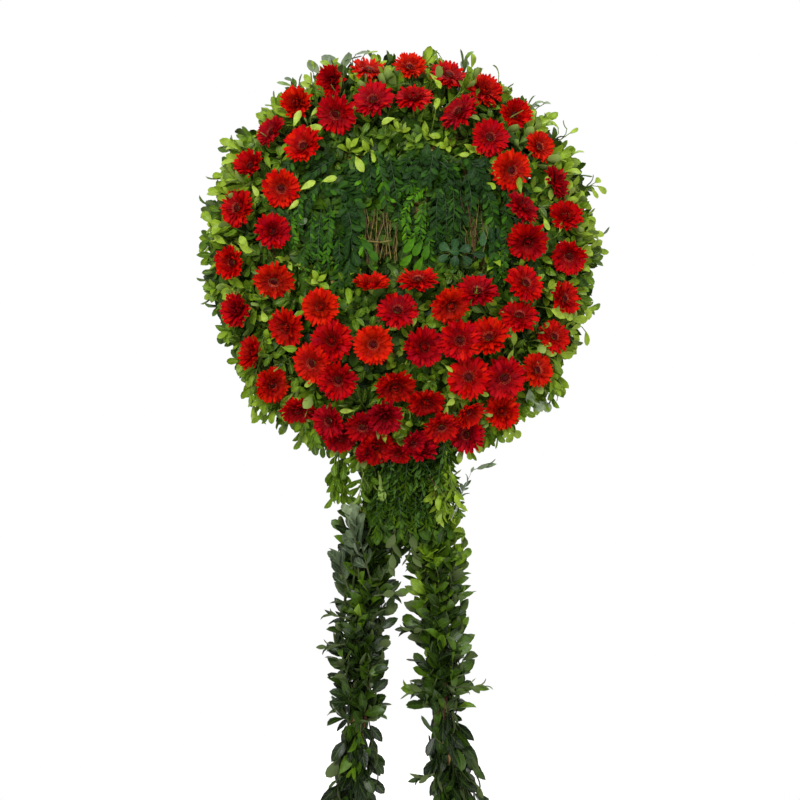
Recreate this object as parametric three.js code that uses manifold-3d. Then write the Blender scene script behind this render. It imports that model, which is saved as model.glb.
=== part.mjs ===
// A standing memorial wreath: a domed head of red gerberas and evergreen foliage on a folding wooden stand.
//
// The stand is two leaf-clad front legs that lean back, and a bare rear frame that hangs from them on a hinge.
// A plywood board is screwed to the front legs. A bound straw pad lies on the board, and each flower's stem is
// pushed into the pad. Foliage lines the pad's edge, hangs below it and covers the front of both front legs.
//
// Millimetres, +Z up. The front faces -Y, +X is to the viewer's right, and the origin is on the floor, under
// the middle of the wreath's outline. Soft foliage is shown as plain solids of the right size and place.

import * as THREE from "three";
import { mergeVertices } from "three/addons/utils/BufferGeometryUtils.js";
import Module from "manifold-3d";

const wasm = await Module();
wasm.setup();

const { degToRad } = THREE.MathUtils;

// ---------------------------------------------------------------- driving dimensions

const GAP = 0.35; // air between pieces that touch

const LEAN = degToRad(7); // the front legs lean back from the vertical
const FRONT_FACE_Y = -284; // the front face of the front legs, at the floor
const LEG_WIDTH = 36;
const LEG_DEPTH = 24;
const FRONT_LEG_HEIGHT = 1440;
const FOOT_OFFSET = 122; // a front foot's middle, from the centre plane
const SPLAY = 0.069; // sideways run of a front leg for each millimetre of height

const REAR_LEAN = degToRad(16); // the rear frame leans forward from the vertical when open
const REAR_FOOT_OFFSET = 130;
const REAR_TOP_OFFSET = 38;

const HINGE_UP = 1312; // the hinge pin, measured up the front legs from the floor

const RAIL_DEPTH = 18;
const RAIL_HEIGHT = 70;
const HINGE_RAIL_LENGTH = 150;
const HINGE_RAIL_TOP = HINGE_UP + 32;
const FRONT_LOWER_RAIL_LENGTH = 190;
const FRONT_LOWER_RAIL_TOP = HINGE_UP - 205;
const REAR_LOWER_RAIL_LENGTH = 216;
const REAR_LOWER_RAIL_HEIGHT = 50;
const REAR_LOWER_RAIL_DOWN = 540; // its top edge, measured down the rear legs from the pin

const PIN_RADIUS = 2.5;
const KNUCKLE_RADIUS = 4.4;
const PIN_OFFSET = 5; // the pin's axis, from the face of each rail
const LEAF_LENGTH = 60;
const LEAF_DROP = 32;
const LEAF_THICKNESS = 1.8;

const BOARD_RADIUS = 345;
const BOARD_THICKNESS = 12;
const HEAD_UP = 1425; // the head's centre, measured up the front legs from the floor

const SCREW_RADIUS = 2.2;
const SCREW_HEAD_RADIUS = 4.6;
const SCREW_HEAD_THICKNESS = 3.6;
const SCREW_BITE = 18; // how far its point goes beyond the board's back
const SCREW_UP = -60; // both screws' height on the head, from its centre

const PAD_RADIUS = 362;
const PAD_RISE = 132;
const PAD_ROUNDNESS = 2.4; // exponent of the pad's outline: 2 is an ellipse, and more is squarer

const DOME_RADIUS = 520; // the flowers' faces lie on a flat dome of this radius and rise
const DOME_RISE = 185;
const ROOM = 1.2; // two flowers' middles are at least this many times the sum of their radii apart
const STEM_RADIUS = 3.2;
const STEM_DEPTH = 45; // how far a stem goes into the pad

const FOLIAGE_RADIUS = 470; // the tips of the leaves that line the pad
const FOLIAGE_PARTING = 0.002; // half the angle between one quarter of them and the next, in radians

const HANGING_LENGTH = 612; // the hanging foliage's lowest leaves, from the head's centre
const HANGING_HALF_WIDTH = 84;
const HANGING_HALF_SPREAD = 0.23; // half the angle that its top takes up on the rim, in radians
const HANGING_DEPTH = 48;

const FROND_HALF_DEPTH = 22;
const FROND_CLEARANCE = 6; // from the fronds' backs to the pad
const FROND_BUNCHES = {
  left: { x: -150, y: 96, turn: -0.35, width: 120, length: 215 },
  middle: { x: 0, y: 120, turn: 0.05, width: 120, length: 225 },
  right: { x: 150, y: 100, turn: 0.3, width: 125, length: 220 },
};

const LEG_FOLIAGE_RADIUS = 64;
const LEG_BUNDLES = { lower: [70, 340], middle: [342, 570], upper: [572, 800] }; // heights above the floor

// ---------------------------------------------------------------- materials

const finish = (color, roughness, metalness = 0) =>
  new THREE.MeshStandardMaterial({ color, roughness, metalness });

const MATERIALS = {
  pine: finish(0xb98f5c, 0.75),
  plywood: finish(0xc7a878, 0.8),
  steel: finish(0xa8acb0, 0.4, 0.9),
  straw: finish(0xb59a5a, 0.95),
  petals: finish(0xc4060c, 0.55),
  lightLeaves: finish(0x6f9a2c, 0.5),
  darkFronds: finish(0x1f4a2a, 0.55),
  legLeaves: finish(0x3d5f24, 0.45),
};

// ---------------------------------------------------------------- solids

/** A closed geometry as a solid that can be cut and joined. */
function toSolid(geometry) {
  const bare = geometry.index ? geometry.toNonIndexed() : geometry.clone();
  bare.deleteAttribute("normal");
  bare.deleteAttribute("uv");
  const merged = mergeVertices(bare, 1e-3);
  return new wasm.Manifold(
    new wasm.Mesh({
      numProp: 3,
      vertProperties: merged.attributes.position.array,
      triVerts: new Uint32Array(merged.index.array),
    }),
  );
}

/** A solid as a geometry again. */
function toGeometry(solid) {
  const { vertProperties, triVerts } = solid.getMesh();
  return new THREE.BufferGeometry()
    .setAttribute("position", new THREE.BufferAttribute(new Float32Array(vertProperties), 3))
    .setIndex(new THREE.BufferAttribute(new Uint32Array(triVerts), 1));
}

function named(name, geometry, material) {
  const mesh = new THREE.Mesh(geometry, material);
  mesh.name = name;
  return mesh;
}

/** A block between two corners. */
function block(low, high) {
  const size = high.map((value, axis) => value - low[axis]);
  const middle = high.map((value, axis) => (value + low[axis]) / 2);
  return new THREE.BoxGeometry(...size).translate(...middle);
}

/** A round rod between two points. */
function rod(from, to, radius, sides = 6) {
  const along = to.clone().sub(from);
  const turn = new THREE.Quaternion().setFromUnitVectors(
    new THREE.Vector3(0, 1, 0),
    along.clone().normalize(),
  );
  return new THREE.CylinderGeometry(radius, radius, along.length(), sides)
    .applyQuaternion(turn)
    .translate(...from.clone().add(to).divideScalar(2).toArray());
}

/** A turned shape about +Z, from (radius, height) pairs that start and end on the axis, lowest first. */
function turned(profile, sides) {
  const points = profile.map(([radius, height]) => new THREE.Vector2(radius, height));
  return new THREE.LatheGeometry(points, sides).rotateX(Math.PI / 2);
}

const sideName = (side) => (side < 0 ? "left" : "right");
const twoDigits = (number) => String(number).padStart(2, "0");

// ---------------------------------------------------------------- frames of reference

// Up the front legs is this group's +Y, and its +Z points forward out of their front faces.
const frontFrame = new THREE.Group();
frontFrame.position.set(0, FRONT_FACE_Y, 0);
frontFrame.rotation.x = Math.PI / 2 - LEAN;

// The hinge pin's axis is this group's X axis. Up the rear legs is +Y, and +Z points forward.
const RAIL_BACK = -(LEG_DEPTH + GAP + RAIL_DEPTH);
const rearFrame = new THREE.Group();
frontFrame.updateMatrixWorld();
rearFrame.position.copy(frontFrame.localToWorld(new THREE.Vector3(0, HINGE_UP, RAIL_BACK - PIN_OFFSET)));
rearFrame.rotation.x = Math.PI / 2 + REAR_LEAN;

// The head's own frame lies on the front of the board: +X right, +Y up, +Z forward.
const head = new THREE.Group();
head.position.set(0, HEAD_UP, GAP + BOARD_THICKNESS);
frontFrame.add(head);

// ---------------------------------------------------------------- stand

/** A lath that stands on the floor, sheared so that its foot and top are cut level. */
function standingLath(height, depth, footX, footY, runX, runY) {
  return new THREE.BoxGeometry(LEG_WIDTH, depth, height)
    .translate(0, depth / 2, height / 2)
    .applyMatrix4(new THREE.Matrix4().makeShear(0, 0, 0, 0, runX, runY))
    .translate(footX, footY, 0);
}

function frontLeg(side) {
  const depth = LEG_DEPTH / Math.cos(LEAN);
  const geometry = standingLath(
    FRONT_LEG_HEIGHT,
    depth,
    side * FOOT_OFFSET,
    FRONT_FACE_Y,
    -side * SPLAY,
    Math.tan(LEAN),
  );
  return toSolid(geometry);
}

function rearLeg(side) {
  const hinge = rearFrame.position;
  const frontFace = PIN_OFFSET + RAIL_DEPTH + GAP; // behind the pin
  const footY = hinge.y + frontFace / Math.cos(REAR_LEAN) + hinge.z * Math.tan(REAR_LEAN);
  const height = hinge.z + 12;
  return standingLath(
    height,
    LEG_DEPTH / Math.cos(REAR_LEAN),
    side * REAR_FOOT_OFFSET,
    footY,
    (-side * (REAR_FOOT_OFFSET - REAR_TOP_OFFSET)) / height,
    -Math.tan(REAR_LEAN),
  );
}

/** A rail across the back of the front legs. */
function frontRail(top, length) {
  return block([-length / 2, top - RAIL_HEIGHT, RAIL_BACK], [length / 2, top, -LEG_DEPTH - GAP]);
}

/** The rail that carries the rear frame's hinge leaf. Its top is bevelled, and stops the frame when open. */
function rearHingeRail() {
  const rise = 26; // above the pin, before the bevel is cut
  const drop = 60;
  const half = HINGE_RAIL_LENGTH / 2;
  const rail = toSolid(block([-half, -drop, -PIN_OFFSET - RAIL_DEPTH], [half, rise, -PIN_OFFSET]));
  // The bevel lies along the front rail's back face when the frame is open.
  const reach = 200;
  const frontRailSpace = new THREE.BoxGeometry(2 * reach, reach, reach)
    .translate(0, 0, PIN_OFFSET - GAP + reach / 2)
    .rotateX(-(LEAN + REAR_LEAN));
  return toGeometry(rail.subtract(toSolid(frontRailSpace)));
}

/** A rail across the back of the rear legs. */
function rearLowerRail() {
  const front = -(PIN_OFFSET + RAIL_DEPTH + 2 * GAP + LEG_DEPTH);
  const half = REAR_LOWER_RAIL_LENGTH / 2;
  const bottom = -REAR_LOWER_RAIL_DOWN - REAR_LOWER_RAIL_HEIGHT;
  return block([-half, bottom, front - RAIL_DEPTH], [half, -REAR_LOWER_RAIL_DOWN, front]);
}

// ---------------------------------------------------------------- hinge

/** A hinge leaf on one side of the pin: a plate below it and knuckles round it. facing is -1 or 1. */
function hingeLeaf(facing, knuckles) {
  const outer = facing * (PIN_OFFSET - GAP);
  const inner = outer - facing * LEAF_THICKNESS;
  const low = Math.min(inner, outer);
  const high = Math.max(inner, outer);
  const clear = KNUCKLE_RADIUS + 0.8;
  let leaf = toSolid(block([-LEAF_LENGTH / 2, -LEAF_DROP, low], [LEAF_LENGTH / 2, -clear, high]));
  for (const [start, end] of knuckles) {
    const from = new THREE.Vector3(start, 0, 0);
    const to = new THREE.Vector3(end, 0, 0);
    leaf = leaf
      .add(toSolid(block([start, -clear - 1, low], [end, 0, high])))
      .add(toSolid(rod(from, to, KNUCKLE_RADIUS, 16)));
  }
  const ends = [new THREE.Vector3(-LEAF_LENGTH, 0, 0), new THREE.Vector3(LEAF_LENGTH, 0, 0)];
  return toGeometry(leaf.subtract(toSolid(rod(...ends, PIN_RADIUS + GAP, 16))));
}

function hingePin() {
  const half = LEAF_LENGTH / 2 + 0.6;
  const profile = [
    [0, -half],
    [PIN_RADIUS, -half],
    [PIN_RADIUS, half],
    [KNUCKLE_RADIUS, half],
    [KNUCKLE_RADIUS, half + 1.6],
    [0, half + 1.6],
  ];
  return turned(profile, 16).rotateY(Math.PI / 2);
}

// ---------------------------------------------------------------- head

/** Height of the pad's face above the board, at a distance from its centre. */
function padHeight(radius) {
  const share = Math.min(radius / PAD_RADIUS, 1);
  return PAD_RISE * (1 - share ** PAD_ROUNDNESS) ** (1 / PAD_ROUNDNESS);
}

/** Where the faces of flowers at a distance from the centre lie, and how far they lean outwards. */
function flowerDome(radius) {
  const height = DOME_RISE * Math.sqrt(1 - (radius / DOME_RADIUS) ** 2);
  const lean = Math.atan2(radius / DOME_RADIUS ** 2, height / DOME_RISE ** 2);
  return { height, lean };
}

// The planting plan. Two rings run round the head, and each flower in one is given by its clock angle, in
// degrees from the top. A ring's distance from the centre is radius at 3 o'clock and radius + stretch at 12.
const RINGS = [
  {
    radius: 388,
    stretch: 60,
    size: 43,
    lift: 0,
    clock: [
      3, 15, 27, 39, 52, 65, 77, 91, 105, 118, 130, 147, 160, 174, 187, 198, 213, 224, 236, 251, 267, 286, 301,
      314, 326, 339, 351,
    ],
  },
  {
    radius: 290,
    stretch: 74,
    size: 46,
    lift: 14,
    clock: [5, 22, 38, 54, 70, 86, 104, 118, 236, 256, 279, 298, 318, 335, 350],
  },
];

// The other flowers fill the lower half inside the rings: each one's place across the head, and up it.
const LOWER_HALF = {
  size: 50,
  lift: 20,
  places: [
    [-65, -80], [40, -65], [175, -90],
    [-180, -130], [-5, -135], [115, -130],
    [-155, -205], [-60, -215], [55, -220], [135, -205], [200, -195],
    [-200, -255], [-140, -295], [-10, -310], [155, -285], [238, -288],
    [-163, -385], [-85, -400], [-35, -375], [60, -345], [95, -400], [155, -365],
  ],
};

/** A flower of the plan: the middle of its face, the way it faces and its size, from its place on the board. */
function plannedFlower(across, up, { size, lift }) {
  const outwards = new THREE.Vector3(across, up, 0);
  const radius = outwards.length();
  outwards.normalize();
  const { height, lean } = flowerDome(radius);
  const middle = new THREE.Vector3(across, up, height + lift);
  const facing = outwards.clone().multiplyScalar(Math.sin(lean)).setZ(Math.cos(lean));
  return { middle, facing, size, radius, outwards };
}

function plantingPlan() {
  const plan = [];
  for (const ring of RINGS) {
    for (const degrees of ring.clock) {
      const angle = degToRad(degrees);
      const distance = ring.radius + ring.stretch * Math.cos(angle) ** 2;
      plan.push(plannedFlower(Math.sin(angle) * distance, Math.cos(angle) * distance, ring));
    }
  }
  for (const [across, up] of LOWER_HALF.places) plan.push(plannedFlower(across, up, LOWER_HALF));
  return plan;
}

/**
 * The flowers that are pieces here, by name. Real petals overlap and give way, which solids can't, so a
 * flower that would crowd one already placed is left out.
 */
function placedFlowers() {
  const placed = new Map();
  plantingPlan().forEach((flower, index) => {
    const apart = [...placed.values()].every(
      (other) => other.middle.distanceTo(flower.middle) > ROOM * (other.size + flower.size),
    );
    if (apart) placed.set(`gerbera_${twoDigits(index + 1)}`, flower);
  });
  return placed;
}

/** Where a flower's stem ends in the pad. */
function stemEnd(flower) {
  const radius = Math.min(0.8 * flower.radius, 0.92 * PAD_RADIUS);
  const end = flower.outwards.clone().multiplyScalar(radius);
  end.z = Math.max(20, padHeight(radius) - STEM_DEPTH);
  return end;
}

/** A flower: a shallow, scalloped dish of petals on a straight stem. */
function gerbera(flower) {
  const { middle, facing, size } = flower;
  const petals = 8;
  const profile = [
    [0, -20],
    [9, -14],
    [size, 1],
    [size - 3, 5],
    [12, -1],
    [0, 3],
  ];
  const bloom = turned(profile, 2 * petals);
  const place = bloom.attributes.position;
  for (let i = 0; i < place.count; i++) {
    const x = place.getX(i);
    const y = place.getY(i);
    const between = Math.round(((Math.atan2(y, x) / Math.PI) * petals) % 2) !== 0;
    if (between && Math.hypot(x, y) > 0.7 * size) place.setXYZ(i, 0.88 * x, 0.88 * y, place.getZ(i));
  }
  bloom
    .applyQuaternion(new THREE.Quaternion().setFromUnitVectors(new THREE.Vector3(0, 0, 1), facing))
    .translate(...middle.toArray());
  const neck = middle.clone().addScaledVector(facing, -14);
  return toGeometry(toSolid(bloom).add(toSolid(rod(neck, stemEnd(flower), STEM_RADIUS))));
}

/** The hole that a stem leaves in the pad: a little wider and deeper than the stem. */
function stemHole(neck, end) {
  const deeper = end.clone().add(end.clone().sub(neck).setLength(2));
  return toSolid(rod(neck, deeper, STEM_RADIUS + 0.8));
}

function strawPad(holes) {
  const steps = 9;
  const profile = [[0, GAP]];
  for (let i = 0; i <= steps; i++) {
    const angle = (i / steps) * (Math.PI / 2);
    const radius = PAD_RADIUS * Math.cos(angle) ** (2 / PAD_ROUNDNESS);
    profile.push([radius < 1 ? 0 : radius, GAP + PAD_RISE * Math.sin(angle) ** (2 / PAD_ROUNDNESS)]);
  }
  let pad = toSolid(turned(profile, 40));
  for (const hole of holes) pad = pad.subtract(hole);
  return toGeometry(pad);
}

function backingBoard() {
  return new THREE.CylinderGeometry(BOARD_RADIUS, BOARD_RADIUS, BOARD_THICKNESS, 48)
    .rotateX(Math.PI / 2)
    .translate(0, 0, -BOARD_THICKNESS / 2);
}

/** A screw through the board into a front leg, in the head's frame. grow widens it into the hole it fills. */
function boardScrew(side, grow = 0) {
  const aboveFloor = (HEAD_UP + SCREW_UP) * Math.cos(LEAN);
  const tip = -BOARD_THICKNESS - SCREW_BITE;
  const top = -0.4;
  const profile = [
    [0, tip - grow],
    [SCREW_RADIUS + grow, tip + 2 - grow],
    [SCREW_RADIUS + grow, top - SCREW_HEAD_THICKNESS - grow],
    [SCREW_HEAD_RADIUS + grow, top - SCREW_HEAD_THICKNESS - grow],
    [SCREW_HEAD_RADIUS + grow, top + 2 * grow],
    [0, top + 2 * grow],
  ];
  return turned(profile, 12).translate(side * (FOOT_OFFSET - SPLAY * aboveFloor), SCREW_UP, 0);
}

// ---------------------------------------------------------------- foliage

/** The ring of foliage that lines the pad's edge, whole. */
function foliageRing() {
  const inside = PAD_RADIUS + 2;
  const profile = [
    [inside, -10],
    [FOLIAGE_RADIUS - 30, -12],
    [FOLIAGE_RADIUS - 6, 2],
    [FOLIAGE_RADIUS, 20],
    [FOLIAGE_RADIUS - 14, 32],
    [inside + 30, 32],
    [inside, 20],
    [inside, -10],
  ];
  return toSolid(turned(profile, 48));
}

/** One quarter of the ring, counted anticlockwise from 3 o'clock. */
function rimFoliage(ring, quarter) {
  const from = (quarter * Math.PI) / 2 + FOLIAGE_PARTING;
  const to = ((quarter + 1) * Math.PI) / 2 - FOLIAGE_PARTING;
  const reach = 2 * FOLIAGE_RADIUS;
  const wedge = new THREE.Shape([
    new THREE.Vector2(0, 0),
    new THREE.Vector2(Math.cos(from) * reach, Math.sin(from) * reach),
    new THREE.Vector2(Math.cos(to) * reach, Math.sin(to) * reach),
  ]);
  const slab = new THREE.ExtrudeGeometry(wedge, { depth: 200, bevelEnabled: false }).translate(0, 0, -100);
  return toGeometry(ring.intersect(toSolid(slab)));
}

/** The stalk that holds a bunch of fronds, from among its leaves down into the pad. */
function frondStalk({ x, y, turn, length }) {
  const up = 0.3 * length;
  const height = PAD_RISE + FROND_CLEARANCE + FROND_HALF_DEPTH;
  const from = new THREE.Vector3(x - Math.sin(turn) * up, y + Math.cos(turn) * up, height);
  const to = from.clone().setZ(PAD_RISE - STEM_DEPTH);
  return { from, to };
}

/** A bunch of drooping fronds on the upper face, with its stalk. */
function frondBunch(bunch) {
  const lobe = new THREE.SphereGeometry(1, 12, 8)
    .scale(bunch.width / 2, bunch.length / 2, FROND_HALF_DEPTH)
    .rotateZ(bunch.turn)
    .translate(bunch.x, bunch.y, PAD_RISE + FROND_CLEARANCE + FROND_HALF_DEPTH);
  const { from, to } = frondStalk(bunch);
  return toGeometry(toSolid(lobe).add(toSolid(rod(from, to, STEM_RADIUS))));
}

/** The foliage that hangs below the rim, in front of the legs. */
function hangingFoliage() {
  const top = FOLIAGE_RADIUS + 4;
  const down = -Math.PI / 2;
  const half = HANGING_HALF_WIDTH;
  const corner = -HANGING_LENGTH + 30;
  const outline = new THREE.Shape();
  outline.absarc(0, 0, top, down - HANGING_HALF_SPREAD, down + HANGING_HALF_SPREAD, false);
  outline.quadraticCurveTo(half, -top - 40, half, corner);
  outline.quadraticCurveTo(0, -HANGING_LENGTH - 20, -half, corner);
  outline.quadraticCurveTo(-half, -top - 40, -half, -top - 20);
  return new THREE.ExtrudeGeometry(outline, { depth: HANGING_DEPTH, bevelEnabled: false, curveSegments: 6 });
}

/** The leafy cover of one stretch of a front leg. It is open at the back, round the leg's other three sides. */
function legFoliage(side, bottom, top) {
  const round = LEG_FOLIAGE_RADIUS;
  const halfLath = LEG_WIDTH / 2 + 2 * GAP;
  const back = (0.8 * LEG_DEPTH) / Math.cos(LEAN);
  const outline = new THREE.Shape();
  outline.moveTo(halfLath, back);
  outline.lineTo(halfLath, -2 * GAP);
  outline.lineTo(-halfLath, -2 * GAP);
  outline.lineTo(-halfLath, back);
  outline.quadraticCurveTo(-round, back, -round, -12);
  outline.quadraticCurveTo(-round * 0.9, -round, 0, -round);
  outline.quadraticCurveTo(round * 0.9, -round, round, -12);
  outline.quadraticCurveTo(round, back, halfLath, back);
  const cover = new THREE.ExtrudeGeometry(outline, { depth: top - bottom, bevelEnabled: false, curveSegments: 3 })
    .applyMatrix4(new THREE.Matrix4().makeShear(0, 0, 0, 0, -side * SPLAY, Math.tan(LEAN)))
    .translate(side * (FOOT_OFFSET - SPLAY * bottom), FRONT_FACE_Y + Math.tan(LEAN) * bottom, bottom);
  // Near the head the two legs' covers would meet, so each one stops at the centre plane.
  const reach = 1000;
  const farSide = new THREE.BoxGeometry(reach, 2 * reach, 4 * reach).translate(-side * (reach / 2 - 1), 0, 0);
  return toGeometry(toSolid(cover).subtract(toSolid(farSide)));
}

// ---------------------------------------------------------------- assembly

const wreath = new THREE.Group();
wreath.add(frontFrame, rearFrame);
wreath.updateMatrixWorld(true);

const screwHoles = [-1, 1].map((side) => toSolid(boardScrew(side, 0.4)));
const holesInLegs = screwHoles.map((hole) => toSolid(toGeometry(hole).applyMatrix4(head.matrixWorld)));

for (const side of [-1, 1]) {
  const name = sideName(side);
  let leg = frontLeg(side);
  for (const hole of holesInLegs) leg = leg.subtract(hole);
  wreath.add(named(`front_leg_${name}`, toGeometry(leg), MATERIALS.pine));
  wreath.add(named(`rear_leg_${name}`, rearLeg(side), MATERIALS.pine));
  for (const [level, [bottom, top]] of Object.entries(LEG_BUNDLES)) {
    wreath.add(named(`leg_foliage_${name}_${level}`, legFoliage(side, bottom, top), MATERIALS.legLeaves));
  }
  head.add(named(`board_screw_${name}`, boardScrew(side), MATERIALS.steel));
}

const frontRails = {
  front_hinge_rail: frontRail(HINGE_RAIL_TOP, HINGE_RAIL_LENGTH),
  front_lower_rail: frontRail(FRONT_LOWER_RAIL_TOP, FRONT_LOWER_RAIL_LENGTH),
};
for (const [name, rail] of Object.entries(frontRails)) frontFrame.add(named(name, rail, MATERIALS.pine));
rearFrame.add(named("rear_hinge_rail", rearHingeRail(), MATERIALS.pine));
rearFrame.add(named("rear_lower_rail", rearLowerRail(), MATERIALS.pine));

const third = LEAF_LENGTH / 6;
const hinge = new THREE.Group();
hinge.position.set(0, HINGE_UP, RAIL_BACK - PIN_OFFSET);
hinge.add(named("hinge_fixed_leaf", hingeLeaf(1, [[-third, third]]), MATERIALS.steel));
hinge.add(named("hinge_pin", hingePin(), MATERIALS.steel));
frontFrame.add(hinge);
const outerKnuckles = [
  [-LEAF_LENGTH / 2, -third - GAP],
  [third + GAP, LEAF_LENGTH / 2],
];
rearFrame.add(named("hinge_moving_leaf", hingeLeaf(-1, outerKnuckles), MATERIALS.steel));

let board = toSolid(backingBoard());
for (const hole of screwHoles) board = board.subtract(hole);
head.add(named("backing_board", toGeometry(board), MATERIALS.plywood));

const flowers = placedFlowers();
for (const [name, flower] of flowers) head.add(named(name, gerbera(flower), MATERIALS.petals));
for (const [name, bunch] of Object.entries(FROND_BUNCHES)) {
  head.add(named(`frond_bunch_${name}`, frondBunch(bunch), MATERIALS.darkFronds));
}
const flowerHoles = [...flowers.values()].map((flower) =>
  stemHole(flower.middle.clone().addScaledVector(flower.facing, -14), stemEnd(flower)),
);
const frondHoles = Object.values(FROND_BUNCHES).map((bunch) => {
  const { from, to } = frondStalk(bunch);
  return stemHole(from, to);
});
head.add(named("straw_pad", strawPad([...flowerHoles, ...frondHoles]), MATERIALS.straw));

const ring = foliageRing();
["upper_right", "upper_left", "lower_left", "lower_right"].forEach((name, quarter) => {
  head.add(named(`rim_foliage_${name}`, rimFoliage(ring, quarter), MATERIALS.lightLeaves));
});
head.add(named("hanging_foliage", hangingFoliage(), MATERIALS.lightLeaves));

export default wreath;
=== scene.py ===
# %% [markdown]
# # A standing memorial wreath
# The real object is a domed head of red gerberas and evergreen leaves on a folding wooden easel.
# The stand, the hinge and the board come ready made from the CAD frame. Everything that grew is
# made here: one petal, one leaf and one leaflet are modelled and then planted many times, which is
# also how a florist works.

# %% Load the frame
import math

import bmesh
import bpy
import numpy as np
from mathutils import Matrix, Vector


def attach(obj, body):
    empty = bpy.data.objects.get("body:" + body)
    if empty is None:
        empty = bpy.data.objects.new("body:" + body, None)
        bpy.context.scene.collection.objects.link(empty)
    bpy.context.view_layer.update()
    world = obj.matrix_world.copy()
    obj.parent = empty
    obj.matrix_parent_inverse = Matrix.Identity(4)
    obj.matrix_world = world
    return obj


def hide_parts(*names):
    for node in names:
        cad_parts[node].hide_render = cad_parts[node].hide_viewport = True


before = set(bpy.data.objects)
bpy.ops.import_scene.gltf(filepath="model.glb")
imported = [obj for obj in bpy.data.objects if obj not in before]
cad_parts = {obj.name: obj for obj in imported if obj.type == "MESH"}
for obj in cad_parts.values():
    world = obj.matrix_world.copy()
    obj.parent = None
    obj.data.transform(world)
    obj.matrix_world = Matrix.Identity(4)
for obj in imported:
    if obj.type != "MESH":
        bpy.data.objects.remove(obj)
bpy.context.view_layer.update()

# %% [markdown]
# ## Camera
# The wreath is looked at from the front, from about chest height, with a short telephoto lens that
# keeps the round head round. The camera is made first, so that every later step can be looked at
# through it.

# %% Camera
bpy.ops.object.select_all(action="DESELECT")
CAMERA_PLACE = Vector((0.0, -3.6, 1.30))
CAMERA_AIM = Vector((0.0, -0.32, 1.10))
bpy.ops.object.camera_add(location=CAMERA_PLACE)
camera = bpy.context.object
camera.rotation_euler = (CAMERA_AIM - CAMERA_PLACE).to_track_quat("-Z", "Y").to_euler()
camera.data.lens = 65.5
bpy.context.scene.camera = camera
print("camera distance:", round((CAMERA_AIM - CAMERA_PLACE).length, 2), "m")

# %% [markdown]
# ## Light
# Glossy leaves and velvety petals both want large, soft lights: small ones would burn white spots
# on every leaf. A white world does half of the work and leaves the gaps between the leaves dark. A
# key lamp in front and above, on the left, gives the petals their modelling, a weaker one opens the
# shadows on the other side, and two more light the leaves at the top and at the back.

# %% World and lamps
def colour(code):
    """An sRGB hex colour as the linear numbers that the shaders work with."""
    levels = [int(code[i : i + 2], 16) / 255 for i in (1, 3, 5)]
    return [x / 12.92 if x <= 0.04045 else ((x + 0.055) / 1.055) ** 2.4 for x in levels] + [1.0]


AMBIENT = 0.44  # how bright the white surroundings are as a light, where the backdrop itself is 1

world = bpy.data.worlds.new("white_studio")
world.use_nodes = True
tree = world.node_tree
backdrop = tree.nodes["Background"]
backdrop.inputs["Color"].default_value = colour("#FFFFFF")
rays = tree.nodes.new("ShaderNodeLightPath")
brightness = tree.nodes.new("ShaderNodeMapRange")
brightness.inputs["To Min"].default_value = AMBIENT
tree.links.new(rays.outputs["Is Camera Ray"], brightness.inputs["Value"])
tree.links.new(brightness.outputs["Result"], backdrop.inputs["Strength"])
bpy.context.scene.world = world
bpy.context.scene.view_settings.view_transform = "Standard"

LAMPS = {
    "key": {"place": (-1.3, -3.5, 3.3), "size": 1.2, "power": 105},
    "fill": {"place": (2.4, -3.4, 1.4), "size": 2.0, "power": 43},
    "top": {"place": (0.4, 0.6, 3.6), "size": 1.8, "power": 30},
    "back": {"place": (-0.8, 3.2, 1.8), "size": 2.4, "power": 45},
}
for lamp_name, lamp in LAMPS.items():
    bpy.ops.object.light_add(type="AREA", location=lamp["place"])
    light = bpy.context.object
    light.name = lamp_name + "_light"
    light.data.size = lamp["size"]
    light.data.energy = lamp["power"]
    light.rotation_euler = (Vector((0, -0.2, 1.2)) - light.location).to_track_quat("-Z", "Y").to_euler()
print("lamps:", sorted(LAMPS))


# %% [markdown]
# ## Tools for materials
# Every finish below is a small node tree. One helper adds a node, fills in its settings and inputs,
# and links whatever comes from another node, so that a tree reads from top to bottom like a recipe.

# %% Node helper
def add_node(tree, kind, settings=(), inputs=(), stops=()):
    """Adds a node: its own settings, its inputs as values or links, and for a colour ramp its stops."""
    node = tree.nodes.new("ShaderNode" + kind)
    for name, value in dict(settings).items():
        setattr(node, name, value)
    for name, value in dict(inputs).items():
        if isinstance(value, bpy.types.NodeSocket):
            tree.links.new(value, node.inputs[name])
        else:
            node.inputs[name].default_value = value
    for index, (place, code) in enumerate(stops):
        if index > 1:
            node.color_ramp.elements.new(place)
        node.color_ramp.elements[index].position = place
        node.color_ramp.elements[index].color = colour(code)
    return node


def new_finish(name, **constants):
    """A material with a Principled shader, and the values that are the same all over it."""
    material = bpy.data.materials.new(name)
    material.use_nodes = True
    surface = material.node_tree.nodes["Principled BSDF"]
    for socket, value in constants.items():
        surface.inputs[socket.replace("_", " ")].default_value = value
    return material, material.node_tree, surface


# %% [markdown]
# ## Leaves
# A laurel-like leaf is glossy above and matt grey-green below, with a pale midrib and faint side
# veins. The UV map of each leaf runs from base to tip, so the veins are drawn from it. Its
# underside is mapped two units to the side, which tells the shader which side it is on. Each leaf
# also carries one number, its tint, from old and dark to young and light.

# %% Leaf finish
LEAF_GLOSS = 0.19  # specular level: a waxy leaf mirrors less than bare plastic
MOTTLE_SIZE = 0.011  # the cloudy patches on a leaf, in metres


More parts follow.
